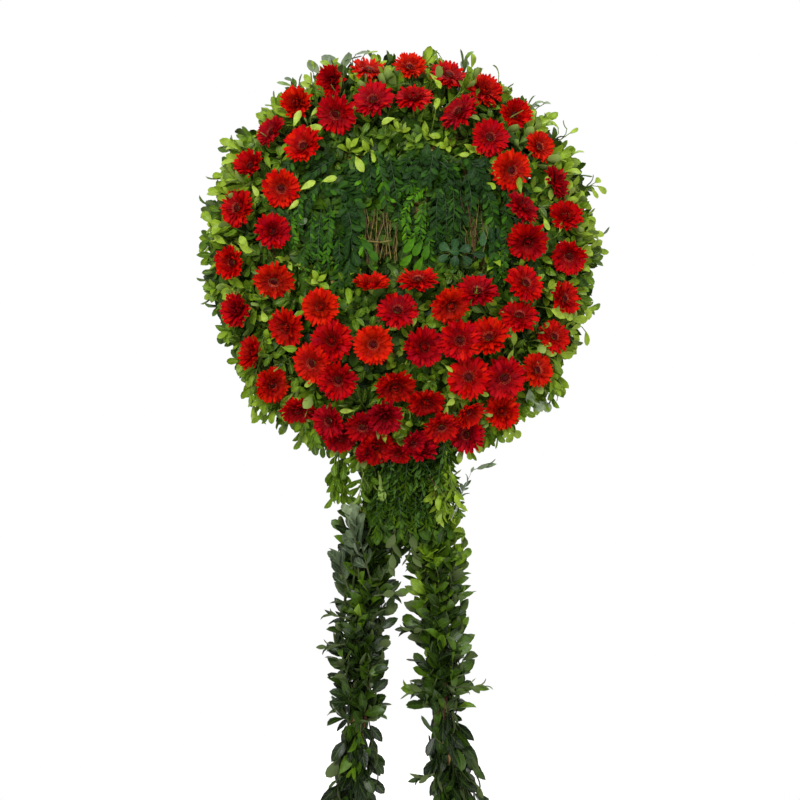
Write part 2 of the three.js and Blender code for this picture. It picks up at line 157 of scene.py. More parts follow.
def leaf_finish(name, tones, underside, rib, roughness, veins, gloss=LEAF_GLOSS):
    """A leaf's finish: tones run from the oldest leaf to the youngest, and veins counts its vein pairs."""
    material, tree, surface = new_finish(name, Specular_IOR_Level=gloss)
    coords = add_node(tree, "TexCoord")
    tint = add_node(tree, "Attribute", {"attribute_name": "tint"})
    places = [index / (len(tones) - 1) for index in range(len(tones))]
    tone = add_node(tree, "ValToRGB", (), {0: tint.outputs["Fac"]}, list(zip(places, tones)))
    mottle_in = {"Vector": coords.outputs["Object"], "Scale": 1 / MOTTLE_SIZE, "Detail": 2.0}
    mottle = add_node(tree, "TexNoise", (), mottle_in)
    light = add_node(tree, "MapRange", (), {0: mottle.outputs["Fac"], 1: 0.3, 2: 0.7, 3: 0.72, 4: 1.25})
    body = add_node(tree, "HueSaturation", (), {"Value": light.outputs[0], "Color": tone.outputs[0]})
    place = add_node(tree, "SeparateXYZ", (), {0: coords.outputs["UV"]})
    under = add_node(tree, "Math", {"operation": "GREATER_THAN"}, {0: place.outputs[0], 1: 1.5})
    across = add_node(tree, "Math", {"operation": "FRACT"}, {0: place.outputs[0]})
    centred = add_node(tree, "Math", {"operation": "SUBTRACT"}, {0: across.outputs[0], 1: 0.5})
    from_rib = add_node(tree, "Math", {"operation": "ABSOLUTE"}, {0: centred.outputs[0]})
    midrib = add_node(tree, "MapRange", (), {0: from_rib.outputs[0], 1: 0.015, 2: 0.07, 3: 0.6, 4: 0.0})
    slant = add_node(
        tree, "Math", {"operation": "MULTIPLY_ADD"}, {0: from_rib.outputs[0], 1: -0.45, 2: place.outputs[1]}
    )
    turns = add_node(tree, "Math", {"operation": "MULTIPLY"}, {0: slant.outputs[0], 1: math.tau * veins})
    wave = add_node(tree, "Math", {"operation": "SINE"}, {0: turns.outputs[0]})
    side_veins = add_node(tree, "MapRange", (), {0: wave.outputs[0], 1: 0.6, 2: 1.0, 3: 0.0, 4: 0.3})
    lines = add_node(tree, "Math", {"operation": "MAXIMUM"}, {0: midrib.outputs[0], 1: side_veins.outputs[0]})
    veined = add_node(
        tree, "Mix", {"data_type": "RGBA"}, {0: lines.outputs[0], 6: body.outputs[0], 7: colour(rib)}
    )
    matt = add_node(tree, "Math", {"operation": "MULTIPLY"}, {0: under.outputs[0], 1: 0.8})
    both = add_node(
        tree, "Mix", {"data_type": "RGBA"}, {0: matt.outputs[0], 6: veined.outputs[2], 7: colour(underside)}
    )
    rough_in = {0: under.outputs[0], 3: roughness, 4: roughness + 0.3}
    rough = add_node(tree, "MapRange", (), rough_in)
    bump_in = {"Strength": 0.5, "Distance": 0.0006, "Height": lines.outputs[0]}
    bump = add_node(tree, "Bump", (), bump_in)
    tree.links.new(both.outputs[2], surface.inputs["Base Color"])
    tree.links.new(rough.outputs[0], surface.inputs["Roughness"])
    tree.links.new(bump.outputs[0], surface.inputs["Normal"])
    return material


# each recipe: the finish's name, tones, underside, rib, roughness, vein pairs, and its gloss if it differs
LEAF_RECIPES = {
    "light_sprig_leaf": (
        "glossy_light_sprig_leaf", ["#2A4206", "#4E720E", "#769816", "#90AC26", "#A4BC46"],
        "#8CA454", "#A8C254", 0.4, 6,
    ),
    "undergrowth_leaf": (
        "matt_undergrowth_leaf", ["#1A2C06", "#2E4A08", "#44660A", "#608610"],
        "#445C20", "#4E7426", 0.5, 6,
    ),
    "garland_leaf": (
        "waxy_garland_leaf", ["#0E180C", "#20340A", "#3A560A", "#5C8010", "#84A22A"],
        "#606F40", "#54702E", 0.36, 7, 0.3,
    ),
    "frond_leaflet": (
        "matt_frond_leaflet", ["#182E12", "#244410", "#36620C", "#4A7E0A", "#60940C"],
        "#3A5C22", "#386622", 0.5, 4, 0.10,
    ),
    "grey_backed_leaf": (
        "grey_backed_leaf", ["#34422A", "#56684A", "#7A8A66", "#9AAA84"],
        "#7A886A", "#8C9C7A", 0.5, 6,
    ),
    "blue_leaf": (
        "waxy_blue_green_leaf", ["#142C16", "#1F4020", "#2E542A", "#426A38"],
        "#4E7240", "#466C34", 0.42, 5,
    ),
    "feather_leaf": (
        "fine_hanging_leaf", ["#223A04", "#385806", "#527208", "#7A9214"],
        "#4A6E30", "#5A8E2A", 0.48, 5,
    ),
}
LEAF_FINISHES = {kind: leaf_finish(*recipe) for kind, recipe in LEAF_RECIPES.items()}
print("leaf finishes:", sorted(LEAF_FINISHES))

# %% [markdown]
# ## Petals
# A gerbera's petals are velvety: no shine, a soft sheen at grazing angles, and fine ridges from
# base to tip. They are darker at the base and brightest just before the tip. The ridges are drawn
# from the UV map, six to a petal, which is close to the real number, and their furrows are darkened
# in the colour as painted shade.

# %% Petal finish
def petal_finish(name, base, middle, tip, edge, **constants):
    """A petal's finish, from four colours: its base, middle and tip, and a pale painted highlight at the very
    end.
    """
    material, tree, surface = new_finish(name, Roughness=0.5, Specular_IOR_Level=0.09, **constants)
    coords = add_node(tree, "TexCoord")
    place = add_node(tree, "SeparateXYZ", (), {0: coords.outputs["UV"]})
    # the last stop paints a pale highlight on the very tip of the petal
    stops = [(0.0, base), (0.5, middle), (0.8, tip), (0.97, tip), (1.0, edge)]
    along = add_node(tree, "ValToRGB", (), {0: place.outputs[1]}, stops)
    tint = add_node(tree, "Attribute", {"attribute_name": "tint"})
    turns = add_node(tree, "Math", {"operation": "MULTIPLY"}, {0: place.outputs[0], 1: math.tau * 6})
    ridges = add_node(tree, "Math", {"operation": "SINE"}, {0: turns.outputs[0]})
    # the tint sets a petal's brightness; for flowers low on the head it also carries painted shade
    value = add_node(tree, "MapRange", (), {0: tint.outputs["Fac"], 3: 0.62, 4: 1.22})
    # painted shade: the furrows between the ridges are darkened and their crests lightened
    painted_ridge_shade = add_node(tree, "MapRange", (), {0: ridges.outputs[0], 1: -1.0, 2: 1.0, 3: 0.9, 4: 1.08})
    both = add_node(tree, "Math", {"operation": "MULTIPLY"}, {0: value.outputs[0], 1: painted_ridge_shade.outputs[0]})
    hue = add_node(tree, "MapRange", (), {0: tint.outputs["Fac"], 3: 0.496, 4: 0.504})
    body_in = {"Hue": hue.outputs[0], "Value": both.outputs[0], "Color": along.outputs[0]}
    body = add_node(tree, "HueSaturation", (), body_in)
    bump = add_node(tree, "Bump", (), {"Strength": 0.5, "Distance": 0.0005, "Height": ridges.outputs[0]})
    tree.links.new(body.outputs[0], surface.inputs["Base Color"])
    tree.links.new(bump.outputs[0], surface.inputs["Normal"])
    return material


PETAL_FINISHES = {
    "outer_petal": petal_finish("velvety_outer_petal", "#A20000", "#CA0000", "#E00000", "#F2443A"),
    # the inner rows are darker red: partly their own colour, partly painted shade
    "inner_petal": petal_finish("velvety_inner_petal_and_painted_shade", "#800000", "#9E0000", "#B60000", "#C80A06"),
    "ring_floret": petal_finish("ring_floret", "#A00E0A", "#C43826", "#DC6852", "#E68A74"),
    "eye_floret": petal_finish("dark_eye_floret", "#300002", "#560004", "#700005", "#8A1410"),
}
print("petal finishes:", sorted(PETAL_FINISHES))


# %% [markdown]
# ## Stems, wood, straw, wire
# The other finishes are plainer: each is one base tone, broken up by noise that is stretched along
# the fibre or grain. A pine lath's grain runs up the leg, with rings 3 to 5 mm apart.

# %% Fibre finish
def fibre_finish(name, dark, light, size, stretch, roughness, depth, **constants):
    """A finish of streaks: size is a streak's width in metres, stretch how far each axis draws it out."""
    material, tree, surface = new_finish(name, Roughness=roughness, **constants)
    coords = add_node(tree, "TexCoord")
    scale = [1 / (size * factor) for factor in stretch]
    mapped = add_node(tree, "Mapping", (), {"Vector": coords.outputs["Object"], "Scale": scale})
    streaks = add_node(tree, "TexNoise", (), {"Vector": mapped.outputs[0], "Scale": 1.0, "Detail": 4.0})
    tone = add_node(tree, "ValToRGB", (), {0: streaks.outputs["Fac"]}, [(0.3, dark), (0.7, light)])
    bump_in = {"Strength": 0.6, "Distance": depth, "Height": streaks.outputs["Fac"]}
    bump = add_node(tree, "Bump", (), bump_in)
    tree.links.new(tone.outputs[0], surface.inputs["Base Color"])
    tree.links.new(bump.outputs[0], surface.inputs["Normal"])
    return material


green_stem = fibre_finish("smooth_green_stem", "#4B6A1C", "#8CA03A", 0.003, (1, 1, 4), 0.45, 0.0002)
flower_stem = fibre_finish("downy_flower_stem", "#5F7A26", "#93A443", 0.004, (1, 1, 6), 0.55, 0.0002)
red_bark = fibre_finish("red_brown_bark", "#341806", "#5E3212", 0.004, (1, 1, 5), 0.7, 0.0005)
dry_twig = fibre_finish("dry_twig_bark", "#4A3C14", "#8E8440", 0.004, (1, 1, 4), 0.8, 0.0005)
olive_bark = fibre_finish("olive_young_bark", "#2E3414", "#56602A", 0.004, (1, 1, 5), 0.7, 0.0004)
straw = fibre_finish("bound_straw", "#7E6428", "#D0B468", 0.0022, (9, 9, 1), 0.85, 0.002)
pine = fibre_finish("planed_pine", "#A97B45", "#D2AA70", 0.0045, (1, 1, 26), 0.6, 0.0003)
cross_pine = fibre_finish("planed_pine_across", "#A97B45", "#D2AA70", 0.0045, (26, 1, 1), 0.6, 0.0003)
plywood = fibre_finish("birch_plywood", "#B58F58", "#D8BA86", 0.006, (1, 1, 14), 0.65, 0.0002)
frond_rib = fibre_finish("dark_frond_rib", "#1E3618", "#365222", 0.003, (1, 1, 4), 0.5, 0.0002)
silver_stem = fibre_finish("silvery_stem", "#8A9488", "#B4BCAE", 0.003, (1, 1, 4), 0.6, 0.0002)
twine = fibre_finish("twisted_jute_twine", "#8A6A34", "#BD9A5C", 0.0015, (1, 1, 2), 0.85, 0.0005)
green_wire = fibre_finish("lacquered_binding_wire", "#23361A", "#3A5228", 0.01, (1, 1, 1), 0.35, 0.0001)
steel = fibre_finish(
    "zinc_plated_steel", "#9A9C9E", "#C6C8CA", 0.0015, (12, 1, 1), 0.34, 0.0001, Metallic=1.0
)
print("plain finishes made:", len(bpy.data.materials))

# %% [markdown]
# ## Blades
# A petal, a leaf and a leaflet are all thin blades. Each starts as a flat grid one unit long. Its
# rows of points are made wider or narrower, lifted to bend the blade, and its middle line is pushed
# down to fold it. Then the blade is copied, the copy is turned over and its middle is lowered by
# the blade's thickness, and the two are merged along the rim. That gives a closed body from only a
# few dozen triangles, which matters for something that is planted ten thousand times.

# %% Blade tools
def deselect():
    if bpy.context.mode != "OBJECT":
        bpy.ops.object.mode_set(mode="OBJECT")
    bpy.ops.object.select_all(action="DESELECT")


def select_points(piece, test):
    """Selects, in edit mode, the points whose place passes a test."""
    mesh = bmesh.from_edit_mesh(piece.data)
    for point in mesh.verts:
        point.select = test(point.co)
    mesh.select_flush_mode()
    bmesh.update_edit_mesh(piece.data)


def blade(name, outline, fold, thickness):
    """A blade from its outline: rows of (height, half width, lift), from its base to its tip."""
    deselect()
    rows = len(outline) - 1
    bpy.ops.mesh.primitive_grid_add(x_subdivisions=2, y_subdivisions=rows, size=1, location=(0, 0.5, 0))
    piece = bpy.context.object
    piece.name = name
    bpy.ops.object.transform_apply(location=True)
    bpy.ops.object.mode_set(mode="EDIT")
    bpy.ops.mesh.select_mode(type="VERT")
    for index in reversed(range(rows + 1)):
        height, half_width, lift = outline[index]
        start = index / rows
        select_points(piece, lambda co, row=start: abs(co.y - row) < 1e-4 and abs(co.z) < 1e-6)
        bpy.ops.transform.resize(value=(max(2 * half_width, 1e-5), 1, 1))
        bpy.ops.transform.translate(value=(0, height - start, lift + 10))
    bpy.ops.mesh.select_all(action="SELECT")
    bpy.ops.transform.translate(value=(0, 0, -10))
    tip = outline[-1][0]

    def on_middle_line(co):
        return abs(co.x) < 1e-5 and 1e-4 < co.y < tip - 1e-4

    select_points(piece, on_middle_line)
    bpy.ops.transform.translate(value=(0, 0, -fold))
    bpy.ops.mesh.select_all(action="SELECT")
    bpy.ops.mesh.duplicate()
    bpy.ops.mesh.flip_normals()
    mesh = bmesh.from_edit_mesh(piece.data)
    uv = mesh.loops.layers.uv.active
    for face in mesh.faces:
        if face.select:
            for corner in face.loops:
                corner[uv].uv.x += 2
    for point in mesh.verts:
        point.select = point.select and on_middle_line(point.co)
    mesh.select_flush_mode()
    bmesh.update_edit_mesh(piece.data)
    bpy.ops.transform.translate(value=(0, 0, -thickness))
    bpy.ops.mesh.select_all(action="SELECT")
    bpy.ops.mesh.remove_doubles(threshold=2e-4)
    bpy.ops.object.mode_set(mode="OBJECT")
    return piece


def shape_of(piece):
    """Takes a finished mesh as plain arrays, ready to be planted many times, and clears it away."""
    mesh = piece.data
    points = np.empty(3 * len(mesh.vertices))
    corners = np.empty(len(mesh.loops), dtype=np.int64)
    sizes = np.empty(len(mesh.polygons), dtype=np.int64)
    maps = np.zeros(2 * len(mesh.loops))
    mesh.vertices.foreach_get("co", points)
    mesh.loops.foreach_get("vertex_index", corners)
    mesh.polygons.foreach_get("loop_total", sizes)
    if mesh.uv_layers:
        mesh.uv_layers.active.data.foreach_get("uv", maps)
    bpy.data.objects.remove(piece)
    points, maps = points.reshape(-1, 3), maps.reshape(-1, 2)
    return {"points": points, "corners": corners, "sizes": sizes, "maps": maps}


def blades(kind, thickness, bends):
    """The shapes of one kind of blade: for each bend, the depth of its fold and its outline."""
    shapes = []
    for bend, (fold, outline) in bends.items():
        shapes.append(shape_of(blade(f"{kind}_{bend}", outline, fold, thickness)))
    return shapes


# %% [markdown]
# ## The modelled petals and leaves
# The petals have blunt ends with a small notch. Three bends of each kind are enough, because
# turning, length and tint do the rest: no two planted copies look the same.

# %% Petals and leaves
PETALS = blades("petal", 0.03, {
    "flat": (0.045, [(0, 0.2, 0), (0.3, 0.38, 0.01), (0.6, 0.5, 0.02), (0.86, 0.4, 0.01), (1.0, 0.13, 0.0)]),
    "raised": (0.05, [(0, 0.2, 0), (0.3, 0.36, 0.03), (0.6, 0.5, 0.08), (0.85, 0.4, 0.18),
                      (0.95, 0.13, 0.24)]),
    "drooping": (0.04, [(0, 0.2, 0), (0.3, 0.38, 0.04), (0.6, 0.5, 0.05), (0.86, 0.4, -0.02),
                        (0.97, 0.13, -0.1)]),
})
FLORET = shape_of(blade("floret", [(0, 0.3, 0), (0.6, 0.5, 0.05), (1.0, 0.15, 0.15)], 0.06, 0.08))
ROUND_LEAVES = blades("leaf", 0.012, {
    "flat": (0.05, [(0, 0.0, 0), (0.18, 0.2, 0.02), (0.42, 0.42, 0.03), (0.68, 0.5, 0.02),
                    (0.88, 0.34, 0.0), (1.0, 0.0, -0.03)]),
    "arched": (0.05, [(0, 0.0, 0), (0.18, 0.2, 0.07), (0.42, 0.44, 0.13), (0.67, 0.5, 0.12),
                      (0.85, 0.33, 0.04), (0.95, 0.0, -0.06)]),
    "cupped": (0.07, [(0, 0.0, 0), (0.18, 0.2, -0.03), (0.42, 0.42, -0.04), (0.67, 0.5, 0.0),
                      (0.86, 0.34, 0.07), (0.96, 0.0, 0.14)]),
})
LONG_LEAVES = blades("long_leaf", 0.012, {
    "flat": (0.05, [(0, 0.0, 0), (0.14, 0.26, 0.02), (0.38, 0.5, 0.03), (0.62, 0.46, 0.02),
                    (0.85, 0.24, -0.01), (1.0, 0.0, -0.05)]),
    "arched": (0.06, [(0, 0.0, 0), (0.14, 0.26, 0.06), (0.38, 0.5, 0.12), (0.62, 0.46, 0.12),
                      (0.82, 0.25, 0.04), (0.94, 0.0, -0.08)]),
})
LEAFLETS = blades("leaflet", 0.02, {
    "flat": (0.04, [(0, 0.0, 0), (0.25, 0.42, 0.02), (0.7, 0.5, 0.02), (1.0, 0.0, -0.04)]),
    "bent": (0.06, [(0, 0.0, 0), (0.25, 0.42, 0.07), (0.68, 0.5, 0.06), (0.94, 0.0, -0.1)]),
})
print("triangles in a petal:", int((PETALS[0]["sizes"] - 2).sum()))
print("triangles in a leaf:", int((ROUND_LEAVES[0]["sizes"] - 2).sum()))


# %% [markdown]
# ## Planting tools
# A copy is set down by its base point, the way its tip points and the side that its upper face
# looks to. All the copies of a sprig or a flower are then joined into one mesh with its own data,
# because a sprig is one grown thing. Stems are curves with a round bevel, turned into a mesh.

# %% Planting tools
def unit(vector):
    return np.asarray(vector, dtype=float) / np.linalg.norm(vector)


def set_down(shape, at, along, faces, length, width, tint, finish):
    """One copy of a blade, ready to be joined."""
    y = unit(along)
    x = unit(np.cross(y, faces))
    z = np.cross(x, y)
    turn = np.column_stack([x * width, y * length, z * length])
    return shape, turn, np.asarray(at, dtype=float), tint, finish


def as_made(shape, finish):
    """A shape that is already in its place."""
    return shape, np.eye(3), np.zeros(3), 0.5, finish


def stems(lines, sides=1):
    """Round stems as one shape. A line is a list of (point, radius)."""
    deselect()
    curve = bpy.data.curves.new("stems", "CURVE")
    curve.dimensions = "3D"
    curve.bevel_depth = 1.0
    curve.bevel_resolution = sides
    curve.use_fill_caps = True
    for line in lines:
        spline = curve.splines.new("POLY")
        spline.points.add(len(line) - 1)
        for knot, (point, radius) in zip(spline.points, line):
            knot.co = (*point, 1.0)
            knot.radius = radius
    piece = bpy.data.objects.new("stems", curve)
    bpy.context.collection.objects.link(piece)
    piece.select_set(True)
    bpy.context.view_layer.objects.active = piece
    bpy.ops.object.convert(target="MESH")
    return shape_of(bpy.context.object)


SHARP_ANGLE = math.radians(50)  # edges that turn further than this stay crisp


def plant(name, copies, finishes, body, replaced=(), frame_of=None):
    """Joins set-down copies into one piece that rides on a body."""
    points, corners, sizes, maps, tints, finish = [], [], [], [], [], []
    first = 0
    for shape, turn, place, tint, number in copies:
        points.append(shape["points"] @ turn.T + place)
        corners.append(shape["corners"] + first)
        sizes.append(shape["sizes"])
        maps.append(shape["maps"])
        tints.append(np.full(len(shape["points"]), tint))
        finish.append(np.full(len(shape["sizes"]), number))
        first += len(shape["points"])
    points = np.concatenate(points)
    if frame_of is not None:
        turn, origin = frame_of
        points = points @ turn.T + origin
    corners, sizes = np.concatenate(corners), np.concatenate(sizes)
    mesh = bpy.data.meshes.new(name)
    mesh.vertices.add(len(points))
    mesh.vertices.foreach_set("co", points.ravel())
    mesh.loops.add(len(corners))
    mesh.loops.foreach_set("vertex_index", corners)
    mesh.polygons.add(len(sizes))
    mesh.polygons.foreach_set("loop_start", np.concatenate([[0], np.cumsum(sizes)[:-1]]))
    mesh.polygons.foreach_set("loop_total", sizes)
    mesh.polygons.foreach_set("material_index", np.concatenate(finish))
    mesh.polygons.foreach_set("use_smooth", np.ones(len(sizes), dtype=bool))
    mesh.uv_layers.new(name="UVMap").data.foreach_set("uv", np.concatenate(maps).ravel())
    mesh.attributes.new("tint", "FLOAT", "POINT").data.foreach_set("value", np.concatenate(tints))
    mesh.update(calc_edges=True)
    mesh.set_sharp_from_angle(angle=SHARP_ANGLE)
    for material in finishes:
        mesh.materials.append(material)
    piece = bpy.data.objects.new(name, mesh)
    bpy.context.collection.objects.link(piece)
    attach(piece, body)
    if replaced:
        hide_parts(*replaced)
    return piece


# %% [markdown]
# ## The head's own frame
# The head leans back with the front legs, by seven degrees. Its flowers and leaves are easier to
# place in its own frame: across, up the board, and forward out of it. The planting plan is the one
# that the CAD flowers follow, with three small flowers added at the bottom.

# %% Head frame and planting plan
LEAN = math.radians(7)
UP_THE_LEG = np.array([0, math.sin(LEAN), math.cos(LEAN)])
OUT_OF_THE_LEG = np.array([0, -math.cos(LEAN), math.sin(LEAN)])
LEG_FOOT = np.array([0, -0.284, 0])
HEAD_TURN = np.column_stack([[1, 0, 0], UP_THE_LEG, OUT_OF_THE_LEG])
BOARD_UP, BOARD_OUT = 1.425, 0.01235  # the middle of the board's front, up the leg and out of it
HEAD = (HEAD_TURN, LEG_FOOT + BOARD_UP * UP_THE_LEG + BOARD_OUT * OUT_OF_THE_LEG)

PAD_RADIUS, PAD_RISE, PAD_ROUNDNESS = 0.362, 0.132, 2.4
DOME_RADIUS, DOME_RISE = 0.520, 0.185

RINGS = [
    {"radius": 0.388, "stretch": 0.060, "size": 0.043, "lift": 0.0,
     "clock": [3, 15, 27, 39, 52, 65, 77, 91, 105, 118, 130, 147, 160, 174, 187, 198, 213, 224, 236, 251, 267,
               286, 301, 314, 326, 339, 351]},
    {"radius": 0.290, "stretch": 0.074, "size": 0.046, "lift": 0.014,
     "clock": [5, 22, 38, 54, 70, 86, 104, 118, 236, 256, 279, 298, 318, 335, 350]},
]
LOWER_HALF = [
    (-65, -80), (40, -65), (175, -90), (-180, -130), (-5, -135), (115, -130), (-155, -205), (-60, -215),
    (55, -220), (135, -205), (200, -195), (-200, -255), (-140, -295), (-10, -310), (155, -285), (238, -288),
    (-163, -385), (-85, -400), (-35, -375), (60, -345), (95, -400), (155, -365), (-78, -456), (-4, -458),
    (30, -436),
]
# flowers of the lower half that tip up, or down where the number is below 0
LOOKING_UP = {0: 1.5, 1: 1.3, 2: 0.9, 4: 0.7, 17: -0.4, 18: -0.3, 20: -0.4}
LARGE_BLOOM, SECOND_BLOOM, HALF_OPEN_BLOOM = 0.048, 0.043, 0.031  # radii in the lower half, in metres


def pad_height(radius):
    share = min(radius / PAD_RADIUS, 1.0)
    return PAD_RISE * (1 - share**PAD_ROUNDNESS) ** (1 / PAD_ROUNDNESS)


def dome_height(radius):
    return DOME_RISE * math.sqrt(1 - min(radius / DOME_RADIUS, 0.99) ** 2)


def dome_facing(across, up):
    """The way that the dome's surface looks at a place."""
    radius = max(math.hypot(across, up), 1e-6)
    lean = math.atan2(radius / DOME_RADIUS**2, dome_height(radius) / DOME_RISE**2)
    return np.array([across / radius * math.sin(lean), up / radius * math.sin(lean), math.cos(lean)])


def planned_flower(across, up, size, lift, tip=0.0):
    """A flower's middle and size, and the way it looks: off the dome, and by chance a little aside."""
    radius = math.hypot(across, up)
    edge = min(max(0.0, radius - 0.25) / 0.2, 1)
    outwards = np.array([across, up, 0]) / radius
    aside = plan_dice.normal(size=3) * [1, 1, 0]
    nods = (0.15, 0.5, 0.9) if radius > 0.28 else (0.08, 0.25, 0.7)
    nods = (0.4, 0.8, 1.1) if up < -0.33 else nods
    nod = plan_dice.choice(nods, p=[0.35, 0.35, 0.3]) if tip == 0 else 0.1
    facing = dome_facing(across, up) + nod * unit(aside) + 0.12 * edge * outwards + np.array([0, tip, 0])
    middle = np.array([across, up, dome_height(radius) + lift])
    return {"middle": middle, "facing": unit(facing), "size": size, "edge": edge, "outwards": outwards}


plan_dice = np.random.default_rng(2)
flowers = []
for ring in RINGS:
    for degrees in ring["clock"]:
        angle = math.radians(degrees)
        distance = ring["radius"] + ring["stretch"] * math.cos(angle) ** 2
        place = (math.sin(angle) * distance, math.cos(angle) * distance)
        flowers.append(planned_flower(*place, ring["size"], ring["lift"]))
for index, (across, up) in enumerate(LOWER_HALF):
    tip = LOOKING_UP.get(index, 0.0)
    lift = 0.006 if tip > 0.5 else 0.016
    size = LARGE_BLOOM if up > -330 else SECOND_BLOOM if up > -420 else HALF_OPEN_BLOOM
    flowers.append(planned_flower(across / 1000, up / 1000, size, lift, tip))

MIDDLES = np.array([flower["middle"] for flower in flowers])
FACINGS = np.array([flower["facing"] for flower in flowers])
FLOWER_SIZES = np.array([flower["size"] for flower in flowers])


def crosses_a_flower(place, share=0.72):
    """True where a leaf would grow through a flower: inside its disc and not behind it."""
    offset = np.asarray(place) - MIDDLES
    height = (offset * FACINGS).sum(axis=1)
    spread = np.linalg.norm(offset - height[:, None] * FACINGS, axis=1)
    return bool(np.any((height > -0.014) & (spread < share * FLOWER_SIZES)))


print("flowers in the plan:", len(flowers))

# %% [markdown]
# ## The eye and the calyx
# The middle of a gerbera is a dark button of unopened florets inside a paler ring of open ones. The
# button is a sphere, flattened, with every other point drawn in so that it looks beaded. Under the
# petals sits the green cup of the calyx, which shows on every flower that is seen from the side.

# %% Eye and calyx
deselect()
bpy.ops.mesh.primitive_ico_sphere_add(subdivisions=3, radius=1)
button = bpy.context.object
bpy.ops.object.mode_set(mode="EDIT")
bpy.ops.mesh.select_mode(type="VERT")
select_points(button, lambda co: co.z < -0.3)
bpy.ops.mesh.delete(type="VERT")
bpy.ops.mesh.select_all(action="SELECT")
bpy.ops.mesh.edge_face_add()
bpy.ops.mesh.select_all(action="SELECT")
bpy.ops.transform.resize(value=(1, 1, 0.5))
select_points(button, lambda co: round(47 * co.x + 31 * co.y + 59 * co.z) % 2 == 0 and co.z > 0)
bpy.ops.transform.resize(value=(0.84, 0.84, 0.84), center_override=(0, 0, 0))
bpy.ops.object.mode_set(mode="OBJECT")
EYE = shape_of(button)

deselect()
bpy.ops.mesh.primitive_cone_add(vertices=12, radius1=0.28, radius2=1.0, depth=1.0, location=(0, 0, -0.5))
cup = bpy.context.object
bpy.ops.object.transform_apply(location=True)
bpy.ops.object.mode_set(mode="EDIT")
bpy.ops.mesh.select_mode(type="VERT")
bpy.ops.mesh.select_all(action="SELECT")
bpy.ops.mesh.bisect(plane_co=(0, 0, -0.45), plane_no=(0, 0, 1))
bpy.ops.transform.resize(value=(1.3, 1.3, 1), center_override=(0, 0, -0.45))
bpy.ops.object.mode_set(mode="OBJECT")
CALYX = shape_of(cup)
print("triangles in an eye:", int((EYE["sizes"] - 2).sum()), "a calyx:", int((CALYX["sizes"] - 2).sum()))

# %% [markdown]
# ## Gerberas
# Each flower is built the way it grows: two rows of long petals, shorter and darker rows on top,
# then the ring and the eye. The darker red of the inner rows is partly their own colour and partly
# painted shade. The numbers below are for a flower 100 mm across. Every flower gets its own small
# irregularities, so some are flat and open, and others are cupped or ragged. A flower near the edge
# nods further outwards.

# %% Build the gerberas
ROW_COLUMNS = ("count", "start", "length", "width", "rise", "shut", "up", "finish")
PETAL_ROWS = [dict(zip(ROW_COLUMNS, row)) for row in [
    (32, 0.0080, 0.0418, 0.0098, 1, 0.0, -0.0075, 0),
    (31, 0.0080, 0.0388, 0.0095, 8, 0.0, -0.0062, 0),
    (26, 0.0080, 0.0250, 0.0076, 13, 0.3, -0.0050, 1),
    (20, 0.0080, 0.0130, 0.0056, 20, 1.0, -0.0040, 1),
    (34, 0.0092, 0.0058, 0.0022, 42, 0.2, -0.0030, 2),
    (26, 0.0070, 0.0046, 0.0022, 62, 0.0, -0.0020, 2),
]]
FLOWER_FINISHES = [*PETAL_FINISHES.values(), flower_stem]
DRAWN_RADIUS = 0.0475  # the radius of the flower that the rows describe, in metres
EYE_RADIUS, CALYX_RADIUS, CALYX_DEPTH = 0.0079, 0.0084, 0.012


def turn_towards(facing, dice):
    """The axes of a flower that looks one way, spun about that way by chance."""
    z = unit(facing)
    x = unit(np.cross(dice.normal(size=3), z))
    return np.column_stack([x, np.cross(z, x), z])


